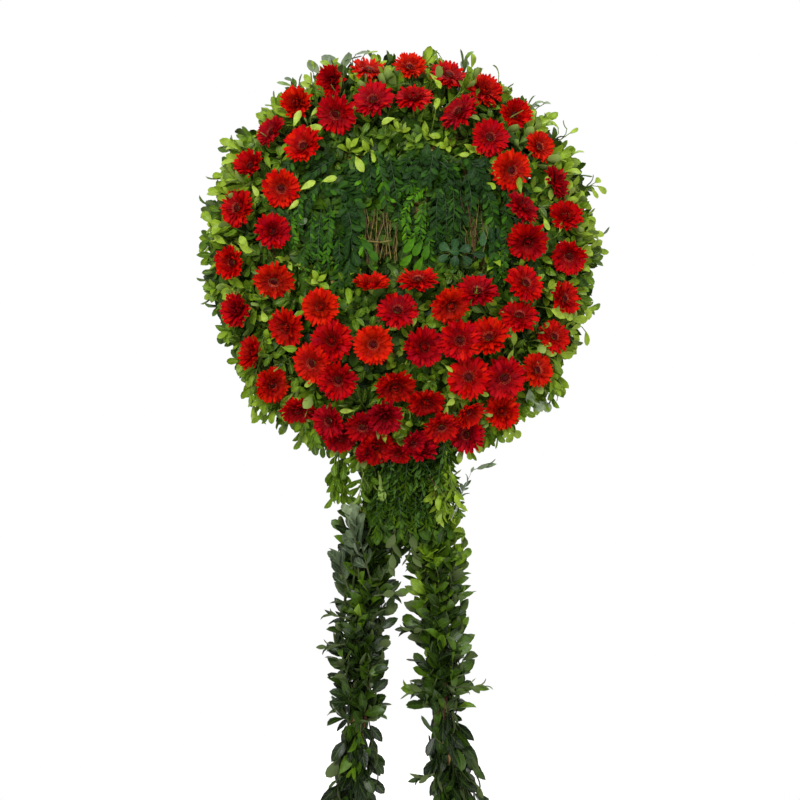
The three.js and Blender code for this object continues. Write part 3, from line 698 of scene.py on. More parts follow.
def gerbera(flower, dice):
    """The copies that make one flower, in the head's frame."""
    middle, size, edge = flower["middle"], flower["size"], flower["edge"]
    radius = math.hypot(middle[0], middle[1])
    axes = turn_towards(flower["facing"], dice)
    scale = size / DRAWN_RADIUS * dice.uniform(0.92, 1.08)
    cupping = dice.choice([-3, 2, 7, 14, 26], p=[0.2, 0.25, 0.2, 0.2, 0.15]) + dice.uniform(-3, 3) + 5 * edge
    ragged = dice.uniform(0.4, 1.1) + 0.3 * edge
    shut = dice.choice([0, 50, 85], p=[0.5, 0.2, 0.3])  # how far the inner petals close, in degrees
    # each flower's brightness: random tone, plus painted shade that darkens the flowers low on the head
    tone_and_low_shade = dice.uniform(0.2, 0.85) - 0.25 * max(0.0, min(1.0, -6 * (middle[1] + 0.26)))
    copies = []
    for row in PETAL_ROWS:
        shift = dice.uniform(0, 1)
        long_petals = row["finish"] < 2
        for number in range(row["count"]):
            yaw = math.tau * (number + shift) / row["count"] + ragged * dice.normal() * 0.04
            lifted = cupping + ragged * dice.normal() * 6 if long_petals else 5 * dice.normal()
            rise = math.radians(row["rise"] + lifted + row["shut"] * shut)
            out = np.array([math.cos(yaw), math.sin(yaw), 0])
            top = np.array([0, 0, 1.0])
            along = axes @ (math.cos(rise) * out + math.sin(rise) * top)
            faces = axes @ (math.cos(rise) * top - math.sin(rise) * out + 0.14 * ragged * dice.normal(size=3))
            at = middle + axes @ (row["start"] * out + row["up"] * top) * scale
            length = row["length"] * scale * dice.uniform(0.9, 1.05)
            width = row["width"] * scale * dice.uniform(0.86, 1.08)
            tint = np.clip(tone_and_low_shade + 0.15 * dice.normal(), 0, 1)
            shape = PETALS[dice.choice(3, p=[0.5, 0.25, 0.25])] if long_petals else FLORET
            copies.append(set_down(shape, at, along, faces, length, width, tint, row["finish"]))
    copies.append((EYE, axes * EYE_RADIUS * scale, middle - axes[:, 2] * 0.003 * scale, 0.4, 3))
    cup_size = np.array([CALYX_RADIUS, CALYX_RADIUS, CALYX_DEPTH]) * scale
    copies.append((CALYX, axes * cup_size, middle - axes[:, 2] * 0.0095 * scale, 0.5, 4))
    end_radius = min(0.8 * radius, 0.92 * PAD_RADIUS)
    end = flower["outwards"] * end_radius + [0, 0, max(0.02, pad_height(end_radius) - 0.045)]
    neck = middle - axes[:, 2] * 0.020 * scale
    bend = (neck + end) / 2 - axes[:, 2] * 0.01
    line = [(neck, 0.0034), ((neck + bend) / 2 - axes[:, 2] * 0.003, 0.0031), (bend, 0.003), (end, 0.003)]
    copies.append(as_made(stems([line]), 4))
    return copies


dice = np.random.default_rng(21)
for index, flower in enumerate(flowers):
    number = f"{index + 1:02d}"
    node = "gerbera_" + number
    replaced = [node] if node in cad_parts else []
    plant("bloom_" + number, gerbera(flower, dice), FLOWER_FINISHES, "front", replaced, HEAD)
print("flowers planted:", len(flowers))


# %% [markdown]
# ## Leafy shoots
# Every sprig in the wreath is a shoot: a stem that bends a little under its weight, with leaves set
# round it in a spiral, each one 137 degrees on from the last. Laurel, pittosporum and ruscus all
# grow like that, and they differ only in the leaf's size, the angle that it stands at, and how many
# there are.

# %% Shoot
GOLDEN_TURN = math.radians(137.5)


def shoot(start, heading, bend, length, leaves, size, opening, tints, dice, kinds, bare=0.12, look=(0, 0, 0),
          thickness=0.0018, avoid=None):
    """A shoot's leaves and the line of its stem. size is a leaf's length and width, opening its angle."""
    start, heading, bend = np.asarray(start), unit(heading), np.asarray(bend)
    side = unit(np.cross(heading, unit(dice.normal(size=3))))
    other = np.cross(heading, side)
    first_turn = dice.uniform(0, math.tau)
    copies = []
    for number in range(leaves):
        share = bare + (1 - bare) * (number + 0.6) / leaves
        at = start + heading * length * share + bend * share**2
        tangent = unit(heading * length + 2 * bend * share)
        yaw = first_turn + number * GOLDEN_TURN + 0.3 * dice.normal()
        out = unit(math.cos(yaw) * side + math.sin(yaw) * other)
        angle = math.radians(opening * (1.15 - 0.5 * share) + 8 * dice.normal())
        along = math.cos(angle) * tangent + math.sin(angle) * out
        faces = math.sin(angle) * tangent - math.cos(angle) * out + np.asarray(look)
        faces = faces + 0.2 * dice.normal(size=3)
        grown = (0.75 + 0.35 * math.sin(math.pi * min(share, 0.9))) * dice.uniform(0.85, 1.12)
        tint = np.clip(tints[0] + (tints[1] - tints[0]) * share + 0.1 * dice.normal(), 0, 1)
        shape = kinds[dice.integers(len(kinds))]
        reach = at + along * size[0] * grown
        if avoid is None or not any(avoid(at + (reach - at) * k) for k in (0.2, 0.6, 1.0)):
            copies.append(set_down(shape, at, along, faces, size[0] * grown, size[1] * grown, tint, 0))
    line = []
    for k in (0, 0.35, 0.7, 1):
        line.append((start + heading * length * k + bend * k * k, thickness * (1.15 - 0.7 * k)))
    return copies, line


# %% [markdown]
# ## Undergrowth
# Before any flower goes in, the florist hides the straw under a bed of dark leaves. They are never
# looked at, but they are what makes the gaps between the flowers green and deep rather than empty.

# %% Undergrowth
BED_RADIUS = 0.445  # how far out from the middle the head is planted, in metres
BED_SECTORS, BED_LEAVES = 8, 360
COLLAR_EVERY = 6  # every sixth leaf lies flat round the pad's edge, where light would shine through
dice = np.random.default_rng(5)
for sector in range(BED_SECTORS):
    copies = []
    for number in range(BED_LEAVES):
        angle = math.tau * (sector + dice.uniform(0, 1)) / BED_SECTORS
        radius = BED_RADIUS * dice.uniform(0.0, 1) ** 0.48
        across, up = radius * math.cos(angle), radius * math.sin(angle)
        height = dome_height(radius) - dice.uniform(0.03, 0.09)
        height = max(height, pad_height(radius) + dice.uniform(0.006, 0.02))
        facing = dome_facing(across, up)
        along = unit(np.cross(facing, dice.normal(size=3))) + dice.uniform(0.0, 0.5) * facing
        faces = facing + 0.35 * dice.normal(size=3)
        length = dice.uniform(0.042, 0.06)
        if number % COLLAR_EVERY == 0:
            radius = dice.uniform(0.34, 0.42)
            across, up = radius * math.cos(angle), radius * math.sin(angle)
            height = dice.uniform(0.015, 0.05)
            faces = np.array([0.0, 0.0, 1.0]) + 0.15 * dice.normal(size=3)
            along = unit(np.cross(faces, dice.normal(size=3)))
            length = 0.062
        tint = dice.uniform(0, 0.8)
        shape = ROUND_LEAVES[dice.integers(3)]
        at = np.array([across, up, height]) - along * length / 2
        copies.append(set_down(shape, at, along, faces, length, 0.43 * length, tint, 0))
    name = f"undergrowth_{sector + 1}"
    plant(name, copies, [LEAF_FINISHES["undergrowth_leaf"]], "front", (), HEAD)
print("undergrowth leaves:", BED_SECTORS * BED_LEAVES)

# %% [markdown]
# ## Rim sprigs
# Light green sprigs line the edge of the head in three layers. The back layer lies along the board
# and makes the outline, and the others lean forward and fill in behind the outer ring of flowers.
# Low on both sides, where nothing holds them up, they hang.

# %% Rim sprigs
RIM_SECTORS = 24
# where the head is a little flat, in degrees round it from its right, and by how much in metres
FLAT_SIDES = {200: 0.016, 322: 0.018}
YOUNG_TIPS = (0.10, 0.75)  # a rim shoot's tint at its foot and at its tip
RIM_LAYERS = [
    {"shoots": 5, "radius": 0.352, "height": 0.010, "forward": 0.02, "length": 0.102, "old": 0.5},
    {"shoots": 3, "radius": 0.350, "height": 0.042, "forward": 0.25, "length": 0.092, "old": 0.15},
    {"shoots": 2, "radius": 0.344, "height": 0.075, "forward": 0.55, "length": 0.078, "old": 0.0},
]
QUARTERS = ["upper_right", "upper_left", "lower_left", "lower_right"]
SPRIG_FINISHES = [LEAF_FINISHES["light_sprig_leaf"], green_stem, LEAF_FINISHES["garland_leaf"]]
dice = np.random.default_rng(11)
for sector in range(RIM_SECTORS):
    copies, lines = [], []
    for layer in RIM_LAYERS:
        for number in range(layer["shoots"]):
            angle = math.tau * (sector + (number + dice.uniform(0.1, 0.9)) / layer["shoots"]) / RIM_SECTORS
            out = np.array([math.cos(angle), math.sin(angle), 0])
            around = np.array([-math.sin(angle), math.cos(angle), 0])
            low = max(0.0, -math.sin(angle) - 0.25)
            hang = low * abs(math.cos(angle)) ** 0.5
            grown = 0.019 * max(0.0, math.sin(angle + 0.25)) ** 0.6
            for degrees, depth in FLAT_SIDES.items():
                grown -= depth * max(0.0, math.cos(angle - math.radians(degrees))) ** 8
            start = out * (layer["radius"] + grown) + [0, 0, layer["height"] + dice.uniform(-0.008, 0.012)]
            heading = out + around * 0.35 * dice.normal()
            heading = heading + [0, -0.5 * hang, layer["forward"] + 0.12 * dice.normal()]
            high = max(0.0, math.sin(angle))
            length = layer["length"] * dice.uniform(0.72, 1.15) * (1 - 0.2 * low + 0.22 * high)
            bend = [0, -0.008 - 0.05 * hang, -0.004]
            shade = dice.uniform(-0.15, 0.2)
            tints = (YOUNG_TIPS[0] + shade, YOUNG_TIPS[1] + shade)
            leaves = 10 + round(3 * high)
            more, line = shoot(start, heading, bend, length, leaves, (0.047, 0.0220), 46, tints, dice,
                               ROUND_LEAVES, look=(0, 0, 1.0), avoid=crosses_a_flower)
            if dice.random() < layer["old"]:
                more = [(*copy[:4], 2) for copy in more]
            copies += more
            lines.append(line)
    copies.append(as_made(stems(lines), 1))
    node = "rim_foliage_" + QUARTERS[sector * 4 // RIM_SECTORS]
    plant(f"rim_sprigs_{sector + 1:02d}", copies, SPRIG_FINISHES, "front", [node], HEAD)
print("rim shoots:", RIM_SECTORS * sum(layer["shoots"] for layer in RIM_LAYERS))

# %% [markdown]
# ## Sprigs between the flowers
# Whorls of leaves poke out wherever two flowers leave room. A place is accepted when it is clear of
# every flower and of the other whorls, which is how a florist finds it too. Most are mid green, and
# a few are young and bright.

# %% Filler sprigs
FROND_FIELD = {"middle": (0.01, 0.09), "half": (0.245, 0.150)}


def in_frond_field(across, up):
    x = (across - FROND_FIELD["middle"][0]) / FROND_FIELD["half"][0]
    y = (up - FROND_FIELD["middle"][1]) / FROND_FIELD["half"][1]
    return x * x + y * y < 1


dice = np.random.default_rng(3)
fillers = []
for _ in range(6000):
    angle, radius = dice.uniform(0, math.tau), BED_RADIUS * math.sqrt(dice.uniform(0, 1))
    place = np.array([radius * math.cos(angle), radius * math.sin(angle)])
    clear_of_flowers = all(np.linalg.norm(place - f["middle"][:2]) > 0.78 * f["size"] for f in flowers)
    clear_of_others = all(np.linalg.norm(place - other) > 0.034 for other in fillers)
    if clear_of_flowers and clear_of_others and not in_frond_field(*place):
        fillers.append(place)
FILLER_SECTORS = 12
bunches = [([], []) for _ in range(FILLER_SECTORS)]
for place in fillers:
    radius = float(np.linalg.norm(place))
    facing = dome_facing(*place)
    top = np.array([*place, dome_height(radius) - dice.uniform(0.010, 0.040)])
    heading = facing + 0.35 * dice.normal(size=3)
    start = top - unit(heading) * 0.05
    light = dice.choice([0.12, 0.30, 0.50, 0.80], p=[0.30, 0.30, 0.24, 0.16])
    more, line = shoot(start, heading, [0, 0, 0], 0.05, 8, (0.036, 0.0160), 66, (light * 0.5, light), dice,
                       ROUND_LEAVES + LONG_LEAVES, look=(0, 0, 0.7), avoid=crosses_a_flower)
    copies, lines = bunches[int((math.atan2(place[1], place[0]) / math.tau % 1) * FILLER_SECTORS)]
    copies += more
    lines.append(line)
for sector, (copies, lines) in enumerate(bunches):
    copies.append(as_made(stems(lines), 1))
    plant(f"filler_sprigs_{sector + 1:02d}", copies, SPRIG_FINISHES, "front", (), HEAD)
print("filler sprigs:", len(fillers))


# %% [markdown]
# ## Fronds
# Dark compound fronds droop over the upper middle of the head. A frond has a thin rib and pairs of
# leaflets that slant towards its tip and shorten near both ends. Its rib is a curve with three
# points: where it leaves the pad, where it bends, and where its tip hangs. The leading fronds are
# placed one by one, in millimetres across and up the head, and a thicket of small ones fills in below.

# %% Fronds
def curve_point(knots, share):
    """A place on the curve that bends towards its middle knot."""
    start, middle, end = knots
    return start * (1 - share) ** 2 + middle * 2 * share * (1 - share) + end * share**2


LEAFLET_PITCH = 0.0085  # from one pair of leaflets to the next, in metres


def frond(knots, leaflet, broad, tint, dice):
    """A compound frond: its leaflets and the line of its rib. broad is a leaflet's width by its length."""
    span = np.linalg.norm(knots[1] - knots[0]) + np.linalg.norm(knots[2] - knots[1])
    pairs = max(6, int(span / LEAFLET_PITCH))
    copies = []
    for number in range(pairs):
        share = 0.06 + 0.92 * number / (pairs - 1)
        at = curve_point(knots, share)
        tangent = unit(curve_point(knots, share + 0.02) - curve_point(knots, share - 0.02))
        front = unit(dome_facing(at[0], at[1]) + 0.15 * dice.normal(size=3))
        across = unit(np.cross(tangent, front))
        upper = np.cross(across, tangent)
        swell = 0.5 + 0.6 * math.sin(math.pi * (0.12 + 0.8 * share)) ** 0.8
        long = leaflet * swell * dice.uniform(0.75, 1.2)
        for side in (-1, 1):
            slant = 1.15 + 0.35 * dice.normal()
            along = unit(slant * tangent + side * across - 0.25 * upper + 0.24 * dice.normal(size=3))
            looks = upper + 0.3 * side * across + 0.42 * dice.normal(size=3)
            shade = np.clip(tint + 0.16 * dice.normal(), 0, 1)
            shape = LEAFLETS[dice.integers(2)]
            if not crosses_a_flower(at + along * long, 0.9):
                copies.append(set_down(shape, at, along, looks, long, broad * long, shade, 0))
    line = [(curve_point(knots, k), 0.0010 * (1.2 - 0.8 * k)) for k in (0, 0.2, 0.4, 0.6, 0.8, 1)]
    return copies, line


# start, bend and tip of each frond, then its leaflets' length, their width by length, and the frond's tint
LEAD_FRONDS = {
    "left": [
        ((-187, 138), (-95, 172), (-88, 45), 27, 0.50, 0.20),
        ((-140, 118), (-102, 100), (-110, -12), 27, 0.50, 0.10),
        ((-160, 110), (-158, 60), (-168, -20), 19, 0.38, 0.50),
        ((-200, 95), (-205, 50), (-203, -20), 18, 0.36, 0.40),
        ((-225, 140), (-235, 100), (-225, 40), 17, 0.36, 0.45),
        ((-180, 100), (-185, 40), (-188, -45), 18, 0.36, 0.30),
        ((-140, 60), (-136, 20), (-140, -50), 20, 0.42, 0.25),
        ((-95, 45), (-82, 0), (-58, -42), 22, 0.40, 0.60),
        ((-215, 20), (-220, -10), (-215, -60), 18, 0.36, 0.35),
        ((-118, 20), (-112, -20), (-118, -72), 22, 0.42, 0.20),
        ((-245, 90), (-250, 60), (-238, 10), 16, 0.36, 0.55),
        ((-165, 165), (-190, 160), (-205, 120), 17, 0.4, 0.35),
    ],
    "middle": [
        ((-56, 240), (-40, 170), (-28, 90), 24, 0.34, 0.42),
        ((-74, 238), (-70, 200), (-64, 135), 24, 0.50, 0.08),
        ((-28, 232), (-14, 180), (-6, 108), 22, 0.36, 0.12),
        ((55, 228), (30, 192), (12, 138), 22, 0.50, 0.14),
        ((76, 230), (72, 190), (60, 150), 22, 0.50, 0.10),
        ((36, 236), (10, 215), (-4, 168), 20, 0.45, 0.20),
        ((92, 202), (60, 182), (34, 150), 22, 0.50, 0.16),
        ((70, 160), (34, 142), (8, 82), 17, 0.32, 0.72),
        ((18, 105), (8, 60), (20, 0), 18, 0.34, 0.85),
        ((75, 80), (50, 62), (22, 18), 16, 0.32, 0.62),
        ((60, 130), (45, 82), (46, 26), 17, 0.34, 0.55),
        ((48, 168), (28, 150), (-6, 128), 17, 0.36, 0.40),
        ((2, 120), (-6, 90), (-4, 50), 16, 0.34, 0.45),
    ],
    "right": [
        ((100, 146), (108, 90), (104, 28), 24, 0.26, 0.14),
        ((90, 150), (78, 100), (84, 18), 24, 0.42, 0.08),
        ((137, 156), (143, 90), (133, 14), 24, 0.28, 0.18),
        ((120, 150), (126, 100), (118, 38), 24, 0.26, 0.22),
        ((140, 218), (178, 204), (190, 138), 30, 0.60, 0.06),
        ((165, 190), (206, 142), (214, 58), 24, 0.42, 0.24),
        ((150, 182), (167, 140), (160, 78), 22, 0.40, 0.10),
        ((85, 90), (80, 50), (84, 4), 24, 0.50, 0.08),
        ((215, 60), (212, 30), (214, -22), 22, 0.50, 0.18),
        ((240, 112), (247, 60), (238, 8), 20, 0.40, 0.26),
        ((190, 50), (186, 20), (188, -12), 22, 0.50, 0.55),
        ((110, 200), (104, 180), (112, 140), 20, 0.45, 0.12),
        ((235, 40), (240, 0), (232, -45), 18, 0.40, 0.35),
        ((62, 60), (70, 20), (64, -32), 18, 0.40, 0.45),
    ],
}
FROND_FRONT = 0.168  # how far forward of the board the leading fronds start
TWIG_GAPS = [((-0.078, -0.008), (-0.03, 0.105)), ((0.142, 0.192), (-0.02, 0.125))]  # kept free for the twigs


def in_twig_gap(across, up):
    return any(x[0] < across < x[1] and y[0] < up < y[1] for x, y in TWIG_GAPS)


FROND_FINISHES = [LEAF_FINISHES["frond_leaflet"], frond_rib]
dice = np.random.default_rng(8)
for bunch, leads in LEAD_FRONDS.items():
    copies, lines = [], []
    for *knots, leaflet, broad, tint in leads:
        height = FROND_FRONT + dice.uniform(-0.014, 0.006)
        lifts = (height - 0.02, height + 0.016, height)
        knots = [np.array([x / 1000, y / 1000, lift]) for (x, y), lift in zip(knots, lifts)]
        more, line = frond(knots, leaflet / 1000, broad, tint, dice)
        copies += more
        lines.append(line)
    copies.append(as_made(stems(lines), 1))
    plant(f"fronds_{bunch}_lead", copies, FROND_FINISHES, "front", ["frond_bunch_" + bunch], HEAD)
    middle_x = {"left": -0.150, "middle": 0.000, "right": 0.150}[bunch]
    for part in range(2):
        copies, lines = [], []
        while len(lines) < 14:
            start = np.array([middle_x + dice.uniform(-0.09, 0.09), dice.uniform(-0.01, 0.24), 0.0])
            start[2] = dice.uniform(0.118, 0.145)
            swing = 3.5 * (start[0] - 0.02) + 0.4 * dice.normal()
            reach = dice.uniform(0.05, 0.10)
            end = start + [math.sin(swing) * reach, -math.cos(swing) * reach, 0.006]
            if in_twig_gap(*end[:2]) or in_twig_gap(*start[:2]):
                continue
            bend = (start + end) / 2 + [0.02 * dice.normal(), 0.01, 0.012]
            shade = dice.choice([0.05, 0.2, 0.35, 0.55])
            more, line = frond([start, bend, end], 0.019, dice.uniform(0.34, 0.5), shade, dice)
            copies += more
            lines.append(line)
        copies.append(as_made(stems(lines), 1))
        plant(f"fronds_{bunch}_{part + 1}", copies, FROND_FINISHES, "front", (), HEAD)
print("leading fronds:", sum(len(leads) for leads in LEAD_FRONDS.values()))

# %% [markdown]
# ## Twigs
# Bare twigs stand in two gaps among the fronds, straw-coloured and red-brown. They are the cut ends
# of the branches that the fronds came on.

# %% Twigs
TWIG_COUNTS = [34, 18]
dice = np.random.default_rng(13)
for patch, (x_range, y_range) in enumerate(TWIG_GAPS):
    dry, red = [], []
    for number in range(TWIG_COUNTS[patch]):
        across, up = dice.uniform(*x_range), y_range[0] + dice.uniform(0, 0.03)
        foot = np.array([across, up, dice.uniform(0.13, 0.166)])
        height = dice.uniform(0.05, 0.95 * (y_range[1] - y_range[0]))
        lean = 0.14 * dice.normal()
        knots = []
        for k in (0, 0.4, 0.75, 1):
            knots.append(foot + [lean * height * k + 0.003 * dice.normal(), height * k, 0.006 * k])
        line = [(knot, 0.0013 - 0.0002 * index) for index, knot in enumerate(knots)]
        (red if number % 3 == 0 else dry).append(line)
    if patch == 0:
        fallen = [(-0.075, 0.022, 0.170), (-0.045, 0.019, 0.173), (-0.020, 0.023, 0.170)]
        dry.append(list(zip(fallen, (0.0018, 0.0018, 0.0016))))
    copies = [as_made(stems(dry), 0), as_made(stems(red), 1)]
    plant(f"twigs_{patch + 1}", copies, [dry_twig, red_bark], "front", (), HEAD)
print("twigs:", sum(TWIG_COUNTS))

# %% [markdown]
# ## Leaves that catch the eye
# What the eye goes to first in the green are single leaves: young lime ones between the flowers,
# large grey-green ones at the top, a rosette of round blue-green ones beside the fronds. They are
# put in one by one, last, like a florist does. Each has a place, a clock direction for its tip, a
# length, a width and a tint. Most places are noted as they are seen from the front, on an upright
# plane through the head's middle. The function as_seen follows the line of sight through such a
# place until it meets the leaves. The rest are places in the head's own frame.

# %% Single leaves
LIME_RISE, GREY_RISE, ROSETTE_RISE, BROAD_RISE = 0.008, 0.004, -0.004, -0.008  # above the dome, in metres
PLANE_Y, PLANE_Z = CAMERA_AIM.y, 1.4395  # where the upright plane is, and the height of its middle


DOME_EDGE, EDGE_DROP = 0.415, 1.1  # past the edge, leaves sit lower by this share of how far past it they are


def leaf_height(radius, rise):
    past_edge = max(0.0, radius - DOME_EDGE)
    return dome_height(min(radius, DOME_EDGE)) + rise - EDGE_DROP * past_edge


def as_seen(rise, rows):
    """Rows with their places moved from the upright plane, along the line of sight, onto the leaves."""
    turn, origin = HEAD
    eye = np.array(CAMERA_PLACE)
    moved = []
    for across, up, *rest in rows:
        mark = np.array([across / 1000, PLANE_Y, PLANE_Z + up / 1000])
        near, far = 0.85, 1.15
        for _ in range(24):
            share = (near + far) / 2
            place = turn.T @ (eye + share * (mark - eye) - origin)
            above = place[2] > leaf_height(math.hypot(place[0], place[1]), rise)
            near, far = (share, far) if above else (near, share)
        moved.append((1000 * place[0], 1000 * place[1], *rest))
    return moved


LIME_LEAVES = as_seen(LIME_RISE, [
    (-230, 290, 20, 42, 18, 0.95), (-195, 268, 80, 46, 20, 0.80), (-190, 305, 45, 28, 12, 0.85),
    (-27, 284, 250, 36, 17, 0.95), (-109, 312, 90, 34, 12, 0.85), (-84, 388, 10, 40, 18, 0.72),
    (-158, 155, 75, 36, 18, 0.85), (-205, 142, 60, 42, 16, 1.00), (-90, 188, 155, 46, 20, 0.88),
    (-238, 98, 50, 34, 14, 0.98), (-385, 228, 275, 44, 16, 0.68), (-324, 130, 150, 34, 14, 0.98),
    (-403, 20, 300, 40, 17, 0.80), (-370, 0, 140, 34, 16, 0.85), (-346, 2, 120, 40, 18, 0.82),
    (-432, 70, 315, 44, 22, 0.60), (-65, 435, 80, 36, 16, 0.80), (-198, 405, 340, 36, 20, 0.75),
    (70, 436, 300, 42, 24, 0.66), (160, 418, 10, 46, 18, 0.78), (214, 396, 350, 36, 14, 0.66),
    (52, 394, 80, 34, 14, 0.82), (78, 378, 140, 36, 14, 0.92), (84, 366, 150, 30, 14, 0.80),
    (60, 320, 30, 26, 16, 0.95), (82, 322, 10, 34, 15, 0.78), (165, 290, 100, 34, 20, 0.85),
    (142, 210, 85, 28, 12, 0.88), (212, 188, 30, 24, 14, 0.92), (215, 166, 150, 26, 14, 0.90),
    (204, 142, 120, 28, 14, 0.75), (330, 152, 20, 30, 15, 0.90), (268, 142, 350, 40, 15, 0.50),
    (328, 56, 160, 36, 13, 0.92), (360, 48, 20, 28, 11, 0.98), (346, 276, 310, 28, 14, 0.72),
    (368, 276, 0, 28, 13, 0.80), (388, 262, 55, 30, 14, 0.82), (442, 152, 60, 36, 16, 0.88),
    (452, 132, 110, 32, 15, 0.86), (436, 124, 160, 30, 14, 0.84), (430, 66, 100, 30, 14, 0.62),
    (425, 38, 60, 34, 18, 0.86), (422, -6, 120, 30, 17, 0.88), (358, -142, 110, 46, 26, 0.86),
    (378, -148, 130, 34, 20, 0.97), (404, -158, 90, 40, 22, 0.80), (420, -200, 160, 38, 20, 0.78),
    (375, -236, 100, 44, 20, 0.70), (352, -262, 140, 44, 24, 0.45), (275, -375, 150, 36, 18, 0.70),
    (262, -416, 120, 34, 20, 0.82), (248, -424, 190, 34, 18, 0.80), (250, -240, 200, 36, 16, 0.85),
    (114, -345, 60, 26, 15, 0.92), (104, -364, 190, 32, 12, 0.96), (168, -418, 160, 36, 14, 0.80),
    (205, -118, 120, 30, 15, 0.60), (166, -108, 200, 40, 15, 0.55), (110, -268, 130, 26, 9, 0.90),
    (332, -216, 80, 26, 10, 0.86), (190, -326, 110, 26, 11, 0.85), (-350, 14, 330, 36, 18, 0.88),
    (-306, -152, 160, 28, 16, 0.85), (-205, -300, 225, 34, 13, 0.90), (-310, -350, 180, 42, 18, 0.80),
    (-330, -368, 185, 46, 18, 0.84), (-288, -378, 200, 40, 16, 0.72), (-262, -374, 190, 36, 15, 0.62),
    (-120, -364, 265, 34, 13, 1.00), (-36, -424, 350, 26, 14, 0.85), (32, -162, 10, 24, 12, 0.95),
    (-115, -106, 0, 42, 20, 0.45), (-248, -222, 95, 38, 18, 0.45), (-60, 205, 160, 30, 12, 0.70),
])
GREY_LEAVES = [
    (-172, 486, 350, 58, 38, 0.35), (-132, 474, 20, 62, 38, 0.6), (-112, 488, 70, 46, 26, 0.5),
    (-205, 468, 330, 48, 28, 0.65), (-85, 498, 85, 48, 22, 0.6),
] + as_seen(GREY_RISE, [
    (-248, 376, 320, 30, 13, 0.35), (-222, 378, 0, 30, 12, 0.40), (328, 322, 60, 26, 13, 0.75),
    (462, 40, 60, 34, 14, 0.45),
]) + [
    (318, -345, 135, 46, 24, 0.95), (340, -345, 130, 42, 22, 1), (300, -325, 165, 40, 22, 0.7),
] + as_seen(GREY_RISE, [
    (-218, 60, 60, 28, 14, 0.4), (-245, 130, 200, 28, 14, 0.3),
])
ROSETTE_LEAVES = as_seen(ROSETTE_RISE, [
    (100, 4, 300, 30, 22, 0.62), (122, 10, 20, 30, 22, 0.45), (146, 0, 70, 32, 22, 0.30),
    (98, -20, 235, 28, 20, 0.40), (124, -26, 190, 30, 22, 0.25), (150, -24, 130, 30, 20, 0.20),
    (122, -6, 90, 26, 20, 0.50), (176, -12, 100, 32, 18, 0.15), (205, 32, 175, 42, 20, 0.15),
    (222, 30, 160, 42, 20, 0.10), (186, 24, 185, 38, 17, 0.60),
])
BROAD_LEAVES = as_seen(BROAD_RISE, [
    (20, 8, 215, 46, 19, 0.70), (40, 2, 210, 46, 19, 0.62), (58, -8, 200, 42, 18, 0.55),
    (14, -24, 225, 42, 18, 0.78), (42, -34, 205, 42, 18, 0.70), (-75, 10, 135, 44, 18, 0.40),
    (-62, -14, 140, 42, 18, 0.50),
    (-100, -20, 160, 46, 20, 0.10), (-116, 2, 190, 44, 20, 0.05), (75, 170, 190, 34, 20, 0.10),
    (12, 196, 230, 32, 18, 0.12), (30, 176, 210, 32, 18, 0.16), (-70, 170, 190, 44, 18, 0.05),
]) + [
    (62, 232, 190, 40, 22, 0.15), (82, 226, 200, 40, 22, 0.1), (72, 214, 150, 40, 22, 0.2),
]


def single_leaves(name, table, finish, dice, rise):
    """Leaves that are placed one by one, over everything else."""
    copies, lines = [], []
    for across, up, clock, length, width, tint in table:
        turn = math.radians(clock)
        radius = math.hypot(across, up) / 1000
        out = np.array([across, up, 0]) / 1000 / radius
        facing = dome_facing(across / 1000, up / 1000)
        along = np.array([math.sin(turn), math.cos(turn), 0]) + 0.25 * dice.normal() * facing
        along = unit(along - 0.6 * np.dot(along, facing) * facing)
        height = leaf_height(radius, rise)
        tip = np.array([across / 1000, up / 1000, height]) + along * length / 2000
        foot = tip - along * length / 1000
        looks = facing + 0.3 * dice.normal(size=3)
        shape = ROUND_LEAVES[dice.integers(3)]
        copies.append(set_down(shape, foot, along, looks, length / 1000, width / 1000, tint, 0))
        root = foot - along * 0.012 - out * 0.01 - facing * 0.05
        bend = foot - along * 0.006 - facing * 0.01
        lines.append([(foot + along * 0.004, 0.0009), (bend, 0.0011), (root, 0.0014)])
    copies.append(as_made(stems(lines, 0), 1))
    plant(name, copies, [LEAF_FINISHES[finish], green_stem], "front", (), HEAD)


dice = np.random.default_rng(37)
for part in range(4):
    single_leaves(f"lime_leaves_{part + 1}", LIME_LEAVES[part::4], "light_sprig_leaf", dice, LIME_RISE)
single_leaves("grey_leaves", GREY_LEAVES, "grey_backed_leaf", dice, GREY_RISE)
single_leaves("rosette_leaves", ROSETTE_LEAVES, "blue_leaf", dice, ROSETTE_RISE)
single_leaves("broad_leaves", BROAD_LEAVES, "frond_leaflet", dice, BROAD_RISE)
print("single leaves:", len(LIME_LEAVES) + len(GREY_LEAVES) + len(ROSETTE_LEAVES) + len(BROAD_LEAVES))

# %% [markdown]
# ## The hanging skirt
# Below the head, fine leafy sprays hang in front of the legs. In the middle their leaves are narrow
# and close together, so they look feathery. Broader, lighter sprigs hang at both sides, and one
# loose cluster on the left swings free. A bed of dark leaves behind them keeps the stand from
# showing through.

